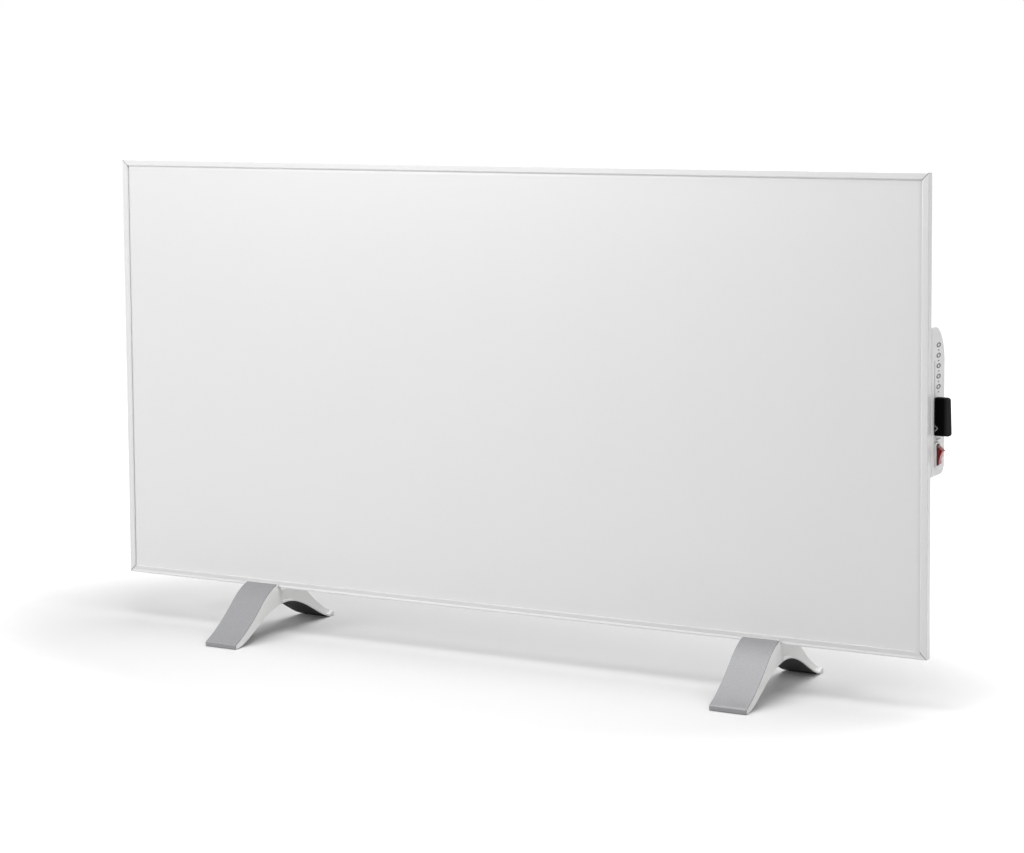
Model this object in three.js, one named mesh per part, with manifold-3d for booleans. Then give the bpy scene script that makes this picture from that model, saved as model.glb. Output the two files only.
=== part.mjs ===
// A free-standing infrared panel heater: a flat radiating panel in a mitred frame, a control box with a
// sliding thermostat and a rocker switch at its right edge, and two swooping feet. Millimetres, +Z up,
// +X to the right and the front towards -Y. The origin is the bottom centre of the whole outline.

import * as THREE from 'three';
import { mergeVertices } from 'three/addons/utils/BufferGeometryUtils.js';
import Module from 'manifold-3d';

const wasm = await Module();
wasm.setup();

// Shared clearances
const seat_gap = 0.3;
const cut_overrun = 2;

// Panel and frame
const panel_width = 1200;
const panel_height = 590;
const floor_clearance = 66;
const frame_depth = 12;
const frame_wall = 1.6;
const frame_lip = 9.5;
const frame_lip_flat = 7.6;
const lip_thickness = 1.6;
const rear_flange = 6;
const rear_flange_thickness = 1.4;
const mitre_gap = 0.3;

// What the frame holds, from the front to the back
const front_sheet = 0.8;
const element_thickness = 0.8;
const element_margin = 25;
const rear_sheet = 0.5;
const key_leg = 45;
const key_width = 8;
const cutout_length = 20;
const cutout_width = 8;
const cutout_thickness = 3.5;
const cutout_from_edge = 140;

// Pan-head screws that come in from the back
const screw_shank_radius = 1.7;
const screw_hole_clearance = 0.4;
const screw_head_radius = 4;
const screw_head_height = 2.6;
const screw_reach = 5;
const screw_pocket_clearance = 0.8;

// Control box
const housing_width = 80;
const housing_height = 182.5;
const housing_rise = 221;
const housing_back = 58;
const housing_proud = 0.5;
const housing_wall = 2.2;
const housing_top_run = 34;
const housing_top_drop = 45;
const housing_bottom_radius = 13;
const base_thickness = 1.6;
const post_radius = 3.6;
const post_from_wall = 7.2;
const post_bore_depth = 14;
const housing_screw_radius = 1.35;
const housing_screw_head = 3;
const housing_screw_head_height = 2;
const housing_screw_length = 12;

// Sliding thermostat
const scale_from_top = 45.5;
const thumb_height = 47.2;
const thumb_depth = 13;
const thumb_rise = 49.9;
const thumb_front = 19.5;
const thumb_clearance = 0.8;
const thumb_reach_top = 18.8;
const thumb_reach_bottom = 20;
const thumb_round = 3.5;
const lever_from_thumb_front = 2.8;
const lever_thickness = 1.2;
const lever_height = 6;
const lever_foot_thickness = 2.4;
const lever_foot_length = 4;
const lever_in_thumb = 4;
const slot_clearance = 0.4;
const slot_end_clearance = 1;
const pot_width = 8.4;
const pot_depth = 8;
const pot_end = 4;
const pot_groove_depth = 5;
const board_thickness = 1.6;
const board_end = 6;
const board_depth = 30;
const board_carrier = 2;
const board_from_face = 19;
const sensor_size = 5;
const sensor_thickness = 3.5;

// Rocker switch
const bezel_height = 31;
const bezel_depth = 15;
const bezel_thickness = 2;
const bezel_round = 1.5;
const switch_height = 28.2;
const switch_depth = 13;
const switch_body_length = 22;
const switch_cavity_length = 16;
const switch_wall = 1.1;
const switch_rise = 26.5;
const switch_centre_back = 29;
const rocker_radius = 12.7;
const rocker_pivot_depth = 6;
const rocker_tilt = THREE.MathUtils.degToRad(16.5);
const rocker_side_gap = 0.4;
const pin_radius = 1;
const terminal_length = 9;
const terminal_width = 6.3;
const terminal_thickness = 0.8;
const terminal_spread_z = 14;
const terminal_spread_y = 6;
// Half of the rocker's outline, as shares of its radius: along the switch, then away from the pin
const rocker_profile_shares = [[0.69, 0.91], [0.83, 0.55], [0.93, 0.35], [0.98, 0.15], [0.7, -0.12]];

// Mains side of the control box
const block_width = 22;
const block_depth = 14;
const block_height = 20;
const block_from_inner_wall = 18;
const block_rise = 40;
const block_screw_radius = 2;
const block_screw_depth = 5;
const block_poles = 3;
const lead_radius = 1.3;
const lead_spacing = 8;
const lead_bend = 5;
const lead_hole_clearance = 1.2;
const inlet_bore = 4;
const inlet_neck = 7.3;
const inlet_flange = 10;
const inlet_flange_thickness = 2.3;
const inlet_from_inner_wall = 24.5;
const inlet_back = 30;

// Feet
const foot_from_left_side = 231;
const foot_from_right_side = 216;
const foot_width = 49.8;
const foot_length = 244;
const foot_centre_back = 18;
const foot_lip_rise = 5.3;
const foot_lip_proud = 3.6;
const foot_trim_thickness = 1.4;
const foot_toe_height = 7.5;
const foot_toe_round = 1.5;
const foot_arch_height = 42.5;
const foot_sheet = 2.5;
const foot_web_inset = 4.5;
const foot_rear_toe = 12;
const foot_block_back = 6;
const foot_block_lean = 6;
const foot_notch_depth = 7;
const foot_notch_back = 32;
const foot_hump_drop = 1;
const tab_width = 30;
const tab_thickness = 3;
const tab_height = 42;
const tab_pad_start = 8;
const tab_screw_low = 18;
const tab_screw_high = 33;
const foot_pad_length = 8;
const foot_pad_width = 38;
const foot_pad_thickness = 2;
const foot_pad_proud = 0.6;
const foot_pad_from_toe = 3;
// Curve points as shares of half the foot's length and of the height that each curve follows
const foot_shoulder_shares = [[0.291, 0.954], [0.41, 0.813], [0.5, 0.666]];
const foot_slope_shares = [[0.656, 0.435], [0.844, 0.196]];
const foot_arch_shares = [[0.656, 0.165], [0.385, 1]];
const foot_arch_start_share = 0.928;

// Wall brackets on the back
const bracket_from_side = 180;
const bracket_width = 60;
const bracket_sheet = 1.5;
const bracket_base = 22;
const bracket_flange = 28;
const bracket_standoff = 28;
const bracket_below_top = 12;
const bracket_screw_spread = 40;
const keyhole_radius = 4.5;
const keyhole_slot_radius = 2.3;
const keyhole_slot_length = 8;
const keyhole_rise = 10;

// Places that follow from the sizes above
const panel_bottom = floor_clearance;
const panel_top = panel_bottom + panel_height;
const panel_middle = panel_bottom + panel_height / 2;
const panel_right = panel_width / 2;
const foot_left_x = foot_from_left_side - panel_right;
const foot_right_x = panel_right - foot_from_right_side;
const bracket_spread = panel_width - 2 * bracket_from_side;
const inner_edge = frame_wall + seat_gap;
const front_sheet_y = lip_thickness + seat_gap;
const front_sheet_back = front_sheet_y + front_sheet;
const element_back = front_sheet_back + seat_gap + element_thickness;
const rear_sheet_back = frame_depth - rear_flange_thickness - seat_gap;
const rear_sheet_y = rear_sheet_back - rear_sheet;
const insulation_y = element_back + seat_gap;
const insulation_back = rear_sheet_y - seat_gap;
const insulation_margin = inner_edge + key_width + seat_gap;
const behind_frame = frame_depth + seat_gap;
const on_rear_sheet = rear_sheet_back + seat_gap;

const face_x = panel_right + housing_proud;
const housing_inner_x = face_x - housing_width;
const housing_bottom = panel_bottom + housing_rise;
const housing_top = housing_bottom + housing_height;
const cavity_right = face_x - housing_wall;
const cavity_left = housing_inner_x + housing_wall;
const cavity_back = housing_back - housing_wall;
const cavity_bottom = housing_bottom + housing_wall;
const cavity_top = housing_top - housing_wall;
const base_back = behind_frame + base_thickness;

const slider_travel = housing_height - thumb_rise - thumb_height / 2 - scale_from_top;
const thumb_bottom = housing_bottom + thumb_rise;
const lever_z = thumb_bottom + thumb_height / 2;
const lever_y = thumb_front + lever_from_thumb_front;
const slot_low = lever_z - lever_height / 2 - slot_end_clearance;
const slot_high = lever_z + slider_travel + lever_height / 2 + slot_end_clearance;
const carrier_x = face_x - board_from_face - board_carrier;
const board_x = carrier_x + board_carrier + seat_gap;
const pot_x = board_x + board_thickness + seat_gap;
const pot_low = slot_low - pot_end;
const pot_high = slot_high + pot_end;
const board_low = pot_low - board_end - sensor_size;
const board_high = pot_high + board_end;

const switch_z = housing_bottom + switch_rise;
const bezel_x = face_x + seat_gap;
const bezel_top_x = bezel_x + bezel_thickness;
const pivot_x = bezel_top_x - rocker_pivot_depth;
const switch_back_x = face_x - switch_body_length;

const block_x = cavity_left + block_from_inner_wall;
const block_z = housing_bottom + block_rise;
const block_y = base_back + seat_gap;
const lead_x = block_x + block_width / 2;
const lead_z = block_z - seat_gap - lead_bend;
const inlet_x = cavity_left + inlet_from_inner_wall;

const foot_half = foot_length / 2;
const foot_front = foot_centre_back - foot_half;
const foot_back = foot_centre_back + foot_half;
const foot_top = panel_bottom + foot_lip_rise;
const notch_floor = panel_bottom - foot_notch_depth;

const bracket_top = panel_top - bracket_below_top;
const bracket_step = bracket_top - bracket_flange;
const bracket_screw_z = bracket_step - bracket_base / 2;

const outline_left = -panel_width / 2;
const outline_right = face_x + thumb_reach_bottom;

function material(color, roughness, metalness) {
  return new THREE.MeshStandardMaterial({ color, roughness, metalness });
}

const model = new THREE.Group();
model.position.set(-(outline_left + outline_right) / 2, -(foot_front + foot_back) / 2, 0);

function addPiece(name, geometry, look) {
  const mesh = new THREE.Mesh(geometry, look);
  mesh.name = name;
  model.add(mesh);
  return mesh;
}

// A closed geometry as a solid that can be joined and cut
function toSolid(geometry) {
  const bare = geometry.clone();
  bare.deleteAttribute('normal');
  bare.deleteAttribute('uv');
  const merged = mergeVertices(bare);
  const vertProperties = new Float32Array(merged.attributes.position.array);
  const triVerts = new Uint32Array(merged.index.array);
  return new wasm.Manifold(new wasm.Mesh({ numProp: 3, vertProperties, triVerts }));
}

function toGeometry(solid) {
  const mesh = solid.getMesh();
  const geometry = new THREE.BufferGeometry();
  geometry.setAttribute('position', new THREE.BufferAttribute(new Float32Array(mesh.vertProperties), 3));
  geometry.setIndex(new THREE.BufferAttribute(new Uint32Array(mesh.triVerts), 1));
  geometry.computeVertexNormals();
  return geometry;
}

function cut(body, tools) {
  let solid = toSolid(body);
  for (const tool of tools) {
    solid = solid.subtract(toSolid(tool));
  }
  return toGeometry(solid);
}

function join(parts) {
  let solid = toSolid(parts[0]);
  for (const part of parts.slice(1)) {
    solid = solid.add(toSolid(part));
  }
  return toGeometry(solid);
}

// A box between two corners
function box(x, y, z) {
  const geometry = new THREE.BoxGeometry(x[1] - x[0], y[1] - y[0], z[1] - z[0]);
  geometry.translate((x[0] + x[1]) / 2, (y[0] + y[1]) / 2, (z[0] + z[1]) / 2);
  return geometry;
}

function around(centre, size) {
  return [centre - size / 2, centre + size / 2];
}

function extrude(outline, depth) {
  const shape = outline instanceof THREE.Shape
    ? outline
    : new THREE.Shape(outline.map(([u, v]) => new THREE.Vector2(u, v)));
  return new THREE.ExtrudeGeometry(shape, { depth, bevelEnabled: false, curveSegments: 8 });
}

// An outline in (y, z) drawn out along X
function prismX(outline, x) {
  const geometry = extrude(outline, x[1] - x[0]);
  geometry.applyMatrix4(new THREE.Matrix4().set(0, 0, 1, 0, 1, 0, 0, 0, 0, 1, 0, 0, 0, 0, 0, 1));
  geometry.translate(x[0], 0, 0);
  return geometry;
}

// An outline in (x, z) drawn out along Y
function prismY(outline, y) {
  const geometry = extrude(outline, y[1] - y[0]);
  geometry.rotateX(Math.PI / 2);
  geometry.translate(0, y[1], 0);
  return geometry;
}

// A round bar along Y
function roundY(radius, y, x, z, sides = 16) {
  const geometry = new THREE.CylinderGeometry(radius, radius, y[1] - y[0], sides);
  geometry.translate(x, (y[0] + y[1]) / 2, z);
  return geometry;
}

function roundedRectangle(u, v, radius) {
  const shape = new THREE.Shape();
  shape.moveTo(u[0] + radius, v[0]);
  shape.absarc(u[1] - radius, v[0] + radius, radius, -Math.PI / 2, 0);
  shape.absarc(u[1] - radius, v[1] - radius, radius, 0, Math.PI / 2);
  shape.absarc(u[0] + radius, v[1] - radius, radius, Math.PI / 2, Math.PI);
  shape.absarc(u[0] + radius, v[0] + radius, radius, Math.PI, -Math.PI / 2);
  return shape;
}

// A screw with its shank towards -Y and its head's seat at y = 0
function screwGeometry(shank_radius, reach, head_radius, head_height) {
  const crown_share = 0.7;
  const profile = [
    new THREE.Vector2(0, -reach),
    new THREE.Vector2(shank_radius, -reach + shank_radius / 2),
    new THREE.Vector2(shank_radius, 0),
    new THREE.Vector2(head_radius, 0),
    new THREE.Vector2(head_radius, head_height / 2),
    new THREE.Vector2(head_radius * crown_share, head_height),
    new THREE.Vector2(0, head_height),
  ];
  return new THREE.LatheGeometry(profile, 12);
}

const painted_white = () => material(0xeeeeec, 0.4, 0.1);
const white_plastic = () => material(0xf2f2f0, 0.45, 0);
const steel = () => material(0xb9bcbf, 0.35, 0.9);
const black_rubber = () => material(0x1c1c1d, 0.9, 0);

// Where screws enter the rear sheet: [x, z]
const foot_screws = [];
for (const x of [foot_left_x, foot_right_x]) {
  for (const rise of [tab_screw_low, tab_screw_high]) {
    foot_screws.push([x, panel_bottom + rise]);
  }
}
const bracket_screws = [];
for (const side of [-1, 1]) {
  for (const end of [-1, 1]) {
    bracket_screws.push([side * bracket_spread / 2 + end * bracket_screw_spread / 2, bracket_screw_z]);
  }
}
const base_screw_x = (housing_inner_x + carrier_x) / 2;
const base_screws = [
  [base_screw_x, (slot_low + slot_high) / 2],
  [base_screw_x, housing_top - housing_bottom_radius],
];
const rear_screws = [...foot_screws, ...bracket_screws, ...base_screws];

// Frame: four bars of one rolled section, mitred at the corners
function frameBar(length) {
  const section = [
    [0, 0],
    [0, frame_lip_flat],
    [lip_thickness, frame_lip],
    [lip_thickness, frame_wall],
    [frame_depth - rear_flange_thickness, frame_wall],
    [frame_depth - rear_flange_thickness, rear_flange],
    [frame_depth, rear_flange],
    [frame_depth, 0],
  ];
  const bar = prismX(section, around(0, length));
  const places = bar.attributes.position;
  for (let i = 0; i < places.count; i += 1) {
    const end = Math.sign(places.getX(i));
    places.setX(i, end * (length / 2 - places.getZ(i) - mitre_gap / 2));
  }
  return bar;
}

function buildFrame() {
  const sides = [
    ['frame_bottom', panel_width, 0, 0, panel_bottom],
    ['frame_left', panel_height, Math.PI / 2, -panel_right, panel_middle],
    ['frame_top', panel_width, Math.PI, 0, panel_top],
    ['frame_right', panel_height, -Math.PI / 2, panel_right, panel_middle],
  ];
  for (const [name, length, turn, x, z] of sides) {
    const bar = addPiece(name, frameBar(length), painted_white());
    bar.rotation.y = turn;
    bar.position.set(x, 0, z);
  }
}

function buildCornerKeys() {
  const outer_x = panel_right - inner_edge;
  const outer_z = panel_height / 2 - inner_edge;
  const corners = { top_left: [-1, 1], top_right: [1, 1], bottom_right: [1, -1], bottom_left: [-1, -1] };
  for (const [corner, [sx, sz]] of Object.entries(corners)) {
    const outline = [
      [outer_x, outer_z],
      [outer_x - key_leg, outer_z],
      [outer_x - key_leg, outer_z - key_width],
      [outer_x - key_width, outer_z - key_width],
      [outer_x - key_width, outer_z - key_leg],
      [outer_x, outer_z - key_leg],
    ].map(([x, z]) => [sx * x, panel_middle + sz * z]);
    const key = prismY(outline, [front_sheet_back + seat_gap, rear_sheet_y - seat_gap]);
    addPiece(`corner_key_${corner}`, key, steel());
  }
}

function sheet(margin, y) {
  return box(around(0, panel_width - 2 * margin), y, around(panel_middle, panel_height - 2 * margin));
}

function leadPassage(y) {
  const radius = lead_radius + lead_hole_clearance;
  const [left_x, right_x] = around(lead_x, lead_spacing);
  const shape = new THREE.Shape();
  shape.absarc(left_x, lead_z, radius, Math.PI / 2, -Math.PI / 2);
  shape.absarc(right_x, lead_z, radius, -Math.PI / 2, Math.PI / 2);
  return prismY(shape, y);
}

function buildPanel() {
  addPiece('front_panel', sheet(inner_edge, [front_sheet_y, front_sheet_back]), painted_white());
  const element = sheet(element_margin, [front_sheet_back + seat_gap, element_back]);
  addPiece('heating_element', element, material(0x3a3a3c, 0.7, 0));

  const through_insulation = [insulation_y - cut_overrun, insulation_back + cut_overrun];
  const pocket_radius = screw_shank_radius + screw_pocket_clearance;
  const pockets = rear_screws.map(([x, z]) => roundY(pocket_radius, through_insulation, x, z, 10));
  const cutout_x = panel_right - cutout_from_edge;
  const cutout_z = (housing_bottom + housing_top) / 2;
  const cutout_room = 2 * seat_gap;
  pockets.push(leadPassage(through_insulation));
  pockets.push(box(
    around(cutout_x, cutout_length + cutout_room),
    [insulation_y - cut_overrun, insulation_y + cutout_thickness + seat_gap],
    around(cutout_z, cutout_width + cutout_room),
  ));
  const board = sheet(insulation_margin, [insulation_y, insulation_back]);
  addPiece('insulation_board', cut(board, pockets), material(0xd9c98f, 0.95, 0));

  const cutout = box(
    around(cutout_x, cutout_length),
    [insulation_y, insulation_y + cutout_thickness],
    around(cutout_z, cutout_width),
  );
  addPiece('thermal_cutout', cutout, material(0x2b2b2d, 0.5, 0));

  const through_rear = [rear_sheet_y - cut_overrun, rear_sheet_back + cut_overrun];
  const hole_radius = screw_shank_radius + screw_hole_clearance;
  const holes = rear_screws.map(([x, z]) => roundY(hole_radius, through_rear, x, z, 12));
  holes.push(leadPassage(through_rear));
  addPiece('rear_cover', cut(sheet(inner_edge, [rear_sheet_y, rear_sheet_back]), holes), painted_white());
}

// Outline of the control box from the side, in (y, z), with its walls moved in by an offset
function housingOutline(offset, front_y) {
  const back = housing_back - offset;
  const bottom = housing_bottom + offset;
  const top = housing_top - offset;
  const low_radius = housing_bottom_radius - offset;
  const run = housing_top_run - offset;
  const drop = housing_top_drop - offset;
  const shape = new THREE.Shape();
  shape.moveTo(front_y, bottom);
  shape.lineTo(back - low_radius, bottom);
  shape.absarc(back - low_radius, bottom + low_radius, low_radius, -Math.PI / 2, 0);
  shape.absellipse(back - run, top - drop, run, drop, 0, Math.PI / 2);
  shape.lineTo(front_y, top);
  return shape;
}

// Where the posts of the base plate stand: [x, z]
const post_low_z = cavity_bottom + housing_bottom_radius;
const post_high_z = housing_top - housing_top_drop - post_radius;
const post_left_x = cavity_left + post_from_wall;
const posts = [
  [post_left_x, post_low_z],
  [block_x + block_width, post_low_z],
  [post_left_x, post_high_z],
  [carrier_x - post_from_wall, post_high_z],
];

function buildHousing() {
  const shell = prismX(housingOutline(0, behind_frame), [housing_inner_x, face_x]);
  const inside = housingOutline(housing_wall, behind_frame - cut_overrun);
  const hollow = prismX(inside, [cavity_left, cavity_right]);
  const through_face = [cavity_right - cut_overrun, face_x + cut_overrun];
  const slot_width = lever_thickness + 2 * slot_clearance;
  const slot = box(through_face, around(lever_y, slot_width), [slot_low, slot_high]);
  const window = box(
    through_face,
    around(switch_centre_back, switch_depth + 2 * seat_gap),
    around(switch_z, switch_height + 2 * seat_gap),
  );
  const inlet_radius = inlet_neck + seat_gap;
  const inlet = new THREE.CylinderGeometry(inlet_radius, inlet_radius, housing_wall + 2 * cut_overrun, 20);
  inlet.rotateX(Math.PI / 2);
  inlet.translate(inlet_x, inlet_back, housing_bottom + housing_wall / 2);
  const hole_radius = housing_screw_radius + seat_gap;
  const through_back = [cavity_back - cut_overrun, housing_back + cut_overrun];
  const holes = posts.map(([x, z]) => roundY(hole_radius, through_back, x, z, 12));
  addPiece('control_housing', cut(shell, [hollow, slot, window, inlet, ...holes]), white_plastic());
}

function buildHousingBase() {
  const plate = box(
    [cavity_left + seat_gap, cavity_right - seat_gap],
    [behind_frame, base_back],
    [cavity_bottom + seat_gap, cavity_top - seat_gap],
  );
  const inside_plate = base_back - base_thickness / 2;
  const carrier = box(
    [carrier_x, carrier_x + board_carrier],
    [inside_plate, base_back + board_depth],
    [board_low, board_high],
  );
  const pillar_y = [inside_plate, cavity_back - seat_gap];
  const pillars = posts.map(([x, z]) => roundY(post_radius, pillar_y, x, z, 12));
  const bore_radius = housing_screw_radius + seat_gap;
  const bore_y = [cavity_back - post_bore_depth, cavity_back + cut_overrun];
  const bores = posts.map(([x, z]) => roundY(bore_radius, bore_y, x, z, 10));
  const through = [behind_frame - cut_overrun, base_back + cut_overrun];
  const hole_radius = screw_shank_radius + screw_hole_clearance;
  const holes = base_screws.map(([x, z]) => roundY(hole_radius, through, x, z, 12));
  const base = cut(join([plate, carrier, ...pillars]), [...bores, ...holes, leadPassage(through)]);
  addPiece('housing_base', base, white_plastic());
}

function buildThermostat() {
  const board_y = [base_back + seat_gap, base_back + board_depth];
  const board = box([board_x, board_x + board_thickness], board_y, [board_low, board_high]);
  addPiece('thermostat_board', board, material(0x1f6b3a, 0.6, 0));

  const sensor = box(
    [pot_x, pot_x + sensor_thickness],
    around(lever_y, sensor_size),
    around(board_low + sensor_size, sensor_size),
  );
  addPiece('room_sensor', sensor, material(0x1d1d20, 0.4, 0));

  const pot_face = pot_x + pot_depth;
  const body = box([pot_x, pot_face], around(lever_y, pot_width), [pot_low, pot_high]);
  const groove_floor = pot_face - pot_groove_depth;
  const groove = box(
    [groove_floor, pot_face + cut_overrun],
    around(lever_y, lever_foot_thickness + 2 * seat_gap),
    [slot_low, slot_high],
  );
  addPiece('slide_potentiometer', cut(body, [groove]), steel());

  const thumb_x = face_x + thumb_clearance;
  const foot_x = groove_floor + seat_gap;
  const lever_foot = box(
    [foot_x, foot_x + lever_foot_length],
    around(lever_y, lever_foot_thickness),
    around(lever_z, lever_height),
  );
  const blade = box(
    [foot_x, thumb_x + lever_in_thumb],
    around(lever_y, lever_thickness),
    around(lever_z, lever_height),
  );
  addPiece('slider_lever', join([lever_foot, blade]), steel());

  const thumb_top = thumb_bottom + thumb_height;
  const corner_turn = Math.atan2(thumb_reach_bottom - thumb_reach_top, thumb_height);
  const outline = new THREE.Shape();
  outline.moveTo(thumb_x, thumb_bottom);
  const low_round_x = face_x + thumb_reach_bottom - thumb_round;
  const low_round_z = thumb_bottom + thumb_round;
  const high_round_x = face_x + thumb_reach_top - thumb_round;
  const high_round_z = thumb_top - thumb_round;
  outline.absarc(low_round_x, low_round_z, thumb_round, -Math.PI / 2, corner_turn);
  outline.absarc(high_round_x, high_round_z, thumb_round, corner_turn, Math.PI / 2);
  outline.lineTo(thumb_x, thumb_top);
  const socket = box(
    [thumb_x - cut_overrun, thumb_x + lever_in_thumb + seat_gap],
    around(lever_y, lever_thickness + 2 * seat_gap),
    around(lever_z, lever_height + 2 * seat_gap),
  );
  const thumb = cut(prismY(outline, [thumb_front, thumb_front + thumb_depth]), [socket]);
  addPiece('thermostat_slider', thumb, material(0x1b1b1d, 0.5, 0));
}

function buildSwitch() {
  const y = switch_centre_back;
  const bezel = prismX(
    roundedRectangle(around(y, bezel_depth), around(switch_z, bezel_height), bezel_round),
    [bezel_x, bezel_top_x],
  );
  const body = box(
    [switch_back_x, bezel_x + bezel_thickness / 2],
    around(y, switch_depth),
    around(switch_z, switch_height),
  );
  const cavity_depth = switch_depth - 2 * switch_wall;
  const cavity = box(
    [bezel_top_x - switch_cavity_length, bezel_top_x + cut_overrun],
    around(y, cavity_depth),
    around(switch_z, switch_height - 2 * switch_wall),
  );
  const pin_hole = roundY(pin_radius + seat_gap, around(y, bezel_depth), pivot_x, switch_z, 12);
  addPiece('switch_body', cut(join([bezel, body]), [cavity, pin_hole]), white_plastic());

  const pin = roundY(pin_radius, around(y, switch_depth - 2 * seat_gap), pivot_x, switch_z, 12);
  addPiece('rocker_pin', pin, steel());

  const half = rocker_profile_shares.map(([along, out]) => [out * rocker_radius, along * rocker_radius]);
  const mirrored = half.map(([out, along]) => [out, -along]).reverse();
  const rocker_width = cavity_depth - 2 * rocker_side_gap;
  const bore = roundY(pin_radius + seat_gap, around(0, bezel_depth), 0, 0, 12);
  const rocker = cut(prismY([...half, ...mirrored], around(0, rocker_width)), [bore]);
  const rocker_mesh = addPiece('switch_rocker', rocker, material(0xb01018, 0.25, 0));
  rocker_mesh.rotation.y = rocker_tilt;
  rocker_mesh.position.set(pivot_x, y, switch_z);

  const blade_x = [switch_back_x - seat_gap - terminal_length, switch_back_x - seat_gap];
  for (const [row, sz] of [['low', -1], ['high', 1]]) {
    for (const [side, sy] of [['front', -1], ['back', 1]]) {
      const blade = box(
        blade_x,
        around(y + sy * terminal_spread_y / 2, terminal_thickness),
        around(switch_z + sz * terminal_spread_z / 2, terminal_width),
      );
      addPiece(`switch_terminal_${row}_${side}`, blade, steel());
    }
  }
}

// An insulated wire from the heating element, up through the rear sheet and into the terminal block
function leadGeometry(x) {
  const turn_y = block_y + block_depth / 2;
  const path = new THREE.CurvePath();
  const start = new THREE.Vector3(x, insulation_y, lead_z);
  const bend_start = new THREE.Vector3(x, turn_y - lead_bend / 2, lead_z);
  const corner = new THREE.Vector3(x, turn_y, lead_z);
  const bend_end = new THREE.Vector3(x, turn_y, lead_z + lead_bend / 2);
  path.add(new THREE.LineCurve3(start, bend_start));
  path.add(new THREE.QuadraticBezierCurve3(bend_start, corner, bend_end));
  path.add(new THREE.LineCurve3(bend_end, new THREE.Vector3(x, turn_y, block_z - seat_gap)));
  const ring = new THREE.Shape();
  ring.absarc(0, 0, lead_radius, 0, 2 * Math.PI);
  const settings = { extrudePath: path, steps: 14, bevelEnabled: false, curveSegments: 5 };
  return new THREE.ExtrudeGeometry(ring, settings);
}

function buildMainsSide() {
  const block_top = block_y + block_depth;
  const block = box(
    [block_x, block_x + block_width],
    [block_y, block_top],
    [block_z, block_z + block_height],
  );
  const pole_pitch = block_width / block_poles;
  const screws = Array.from({ length: block_poles }, (_, i) => roundY(
    block_screw_radius,
    [block_top - block_screw_depth, block_top + cut_overrun],
    block_x + pole_pitch * i + pole_pitch / 2,
    block_z + block_height / 2,
    12,
  ));
  addPiece('terminal_block', cut(block, screws), material(0xe9e6dc, 0.6, 0));
  addPiece('element_lead_live', leadGeometry(lead_x - lead_spacing / 2), material(0x6b3a1e, 0.6, 0));
  addPiece('element_lead_neutral', leadGeometry(lead_x + lead_spacing / 2), material(0x2a4f9c, 0.6, 0));

  const under = housing_bottom - seat_gap;
  const over = cavity_bottom + seat_gap;
  const profile = [
    [inlet_bore, under - inlet_flange_thickness],
    [inlet_flange, under - inlet_flange_thickness],
    [inlet_flange, under],
    [inlet_neck, under],
    [inlet_neck, over],
    [inlet_flange, over],
    [inlet_flange, over + inlet_flange_thickness],
    [inlet_bore, over + inlet_flange_thickness],
    [inlet_bore, under - inlet_flange_thickness],
  ].map(([r, z]) => new THREE.Vector2(r, z));
  const grommet = new THREE.LatheGeometry(profile, 20);
  grommet.rotateX(Math.PI / 2);
  grommet.translate(inlet_x, inlet_back, 0);
  addPiece('cable_grommet', grommet, black_rubber());
}

function addScrews(prefix, places, seat_y, look) {
  places.forEach(([x, z], i) => {
    const reach = seat_y - rear_sheet_y + screw_reach / 2;
    const screw = screwGeometry(screw_shank_radius, reach, screw_head_radius, screw_head_height);
    addPiece(`${prefix}_${i + 1}`, screw, look).position.set(x, seat_y, z);
  });
}

function buildScrews() {
  const tab_back = behind_frame + tab_thickness;
  addScrews('foot_screw', foot_screws, tab_back + seat_gap, steel());
  addScrews('bracket_screw', bracket_screws, on_rear_sheet + bracket_sheet + seat_gap, steel());
  addScrews('base_screw', base_screws, base_back + seat_gap, steel());
  posts.forEach(([x, z], i) => {
    const screw = screwGeometry(
      housing_screw_radius, housing_screw_length, housing_screw_head, housing_screw_head_height,
    );
    addPiece(`housing_screw_${i + 1}`, screw, steel()).position.set(x, housing_back + seat_gap, z);
  });
}

function bezier(points, steps) {
  const [a, b, c, d] = points.map(([u, v]) => new THREE.Vector2(u, v));
  return new THREE.CubicBezierCurve(a, b, c, d).getPoints(steps).map((p) => [p.x, p.y]);
}

// The foot's swooping top from the lip to the toe, in (distance from the foot's middle, height)
function footTop() {
  const place = ([along, up]) => [along * foot_half, up * foot_top];
  const lip = [foot_centre_back + foot_lip_proud, foot_top];
  const shoulder = foot_shoulder_shares.map(place);
  const slope = foot_slope_shares.map(place);
  const toe = [foot_half - foot_toe_round, foot_toe_height];
  const first = bezier([lip, ...shoulder], 8);
  const second = bezier([shoulder[2], ...slope, toe], 12);
  return [...first, ...second.slice(1)];
}

// The arch under the foot, from the toe's flat to the crest at the foot's middle
function footArch() {
  const place = ([along, up]) => [along * foot_half, up * foot_arch_height];
  const start = [foot_arch_start_share * foot_half, foot_pad_proud];
  return bezier([start, ...foot_arch_shares.map(place), [0, foot_arch_height]], 12);
}

// A line of points moved sideways by a distance, to the left of its direction
function moved(points, distance) {
  return points.map((point, i) => {
    const before = points[Math.max(i - 1, 0)];
    const after = points[Math.min(i + 1, points.length - 1)];
    const du = after[0] - before[0];
    const dv = after[1] - before[1];
    const length = Math.hypot(du, dv);
    return [point[0] - distance * dv / length, point[1] + distance * du / length];
  });
}

const toFront = ([along, up]) => [foot_centre_back - along, up];
const toRear = ([along, up]) => [foot_centre_back + along, up];

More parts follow.
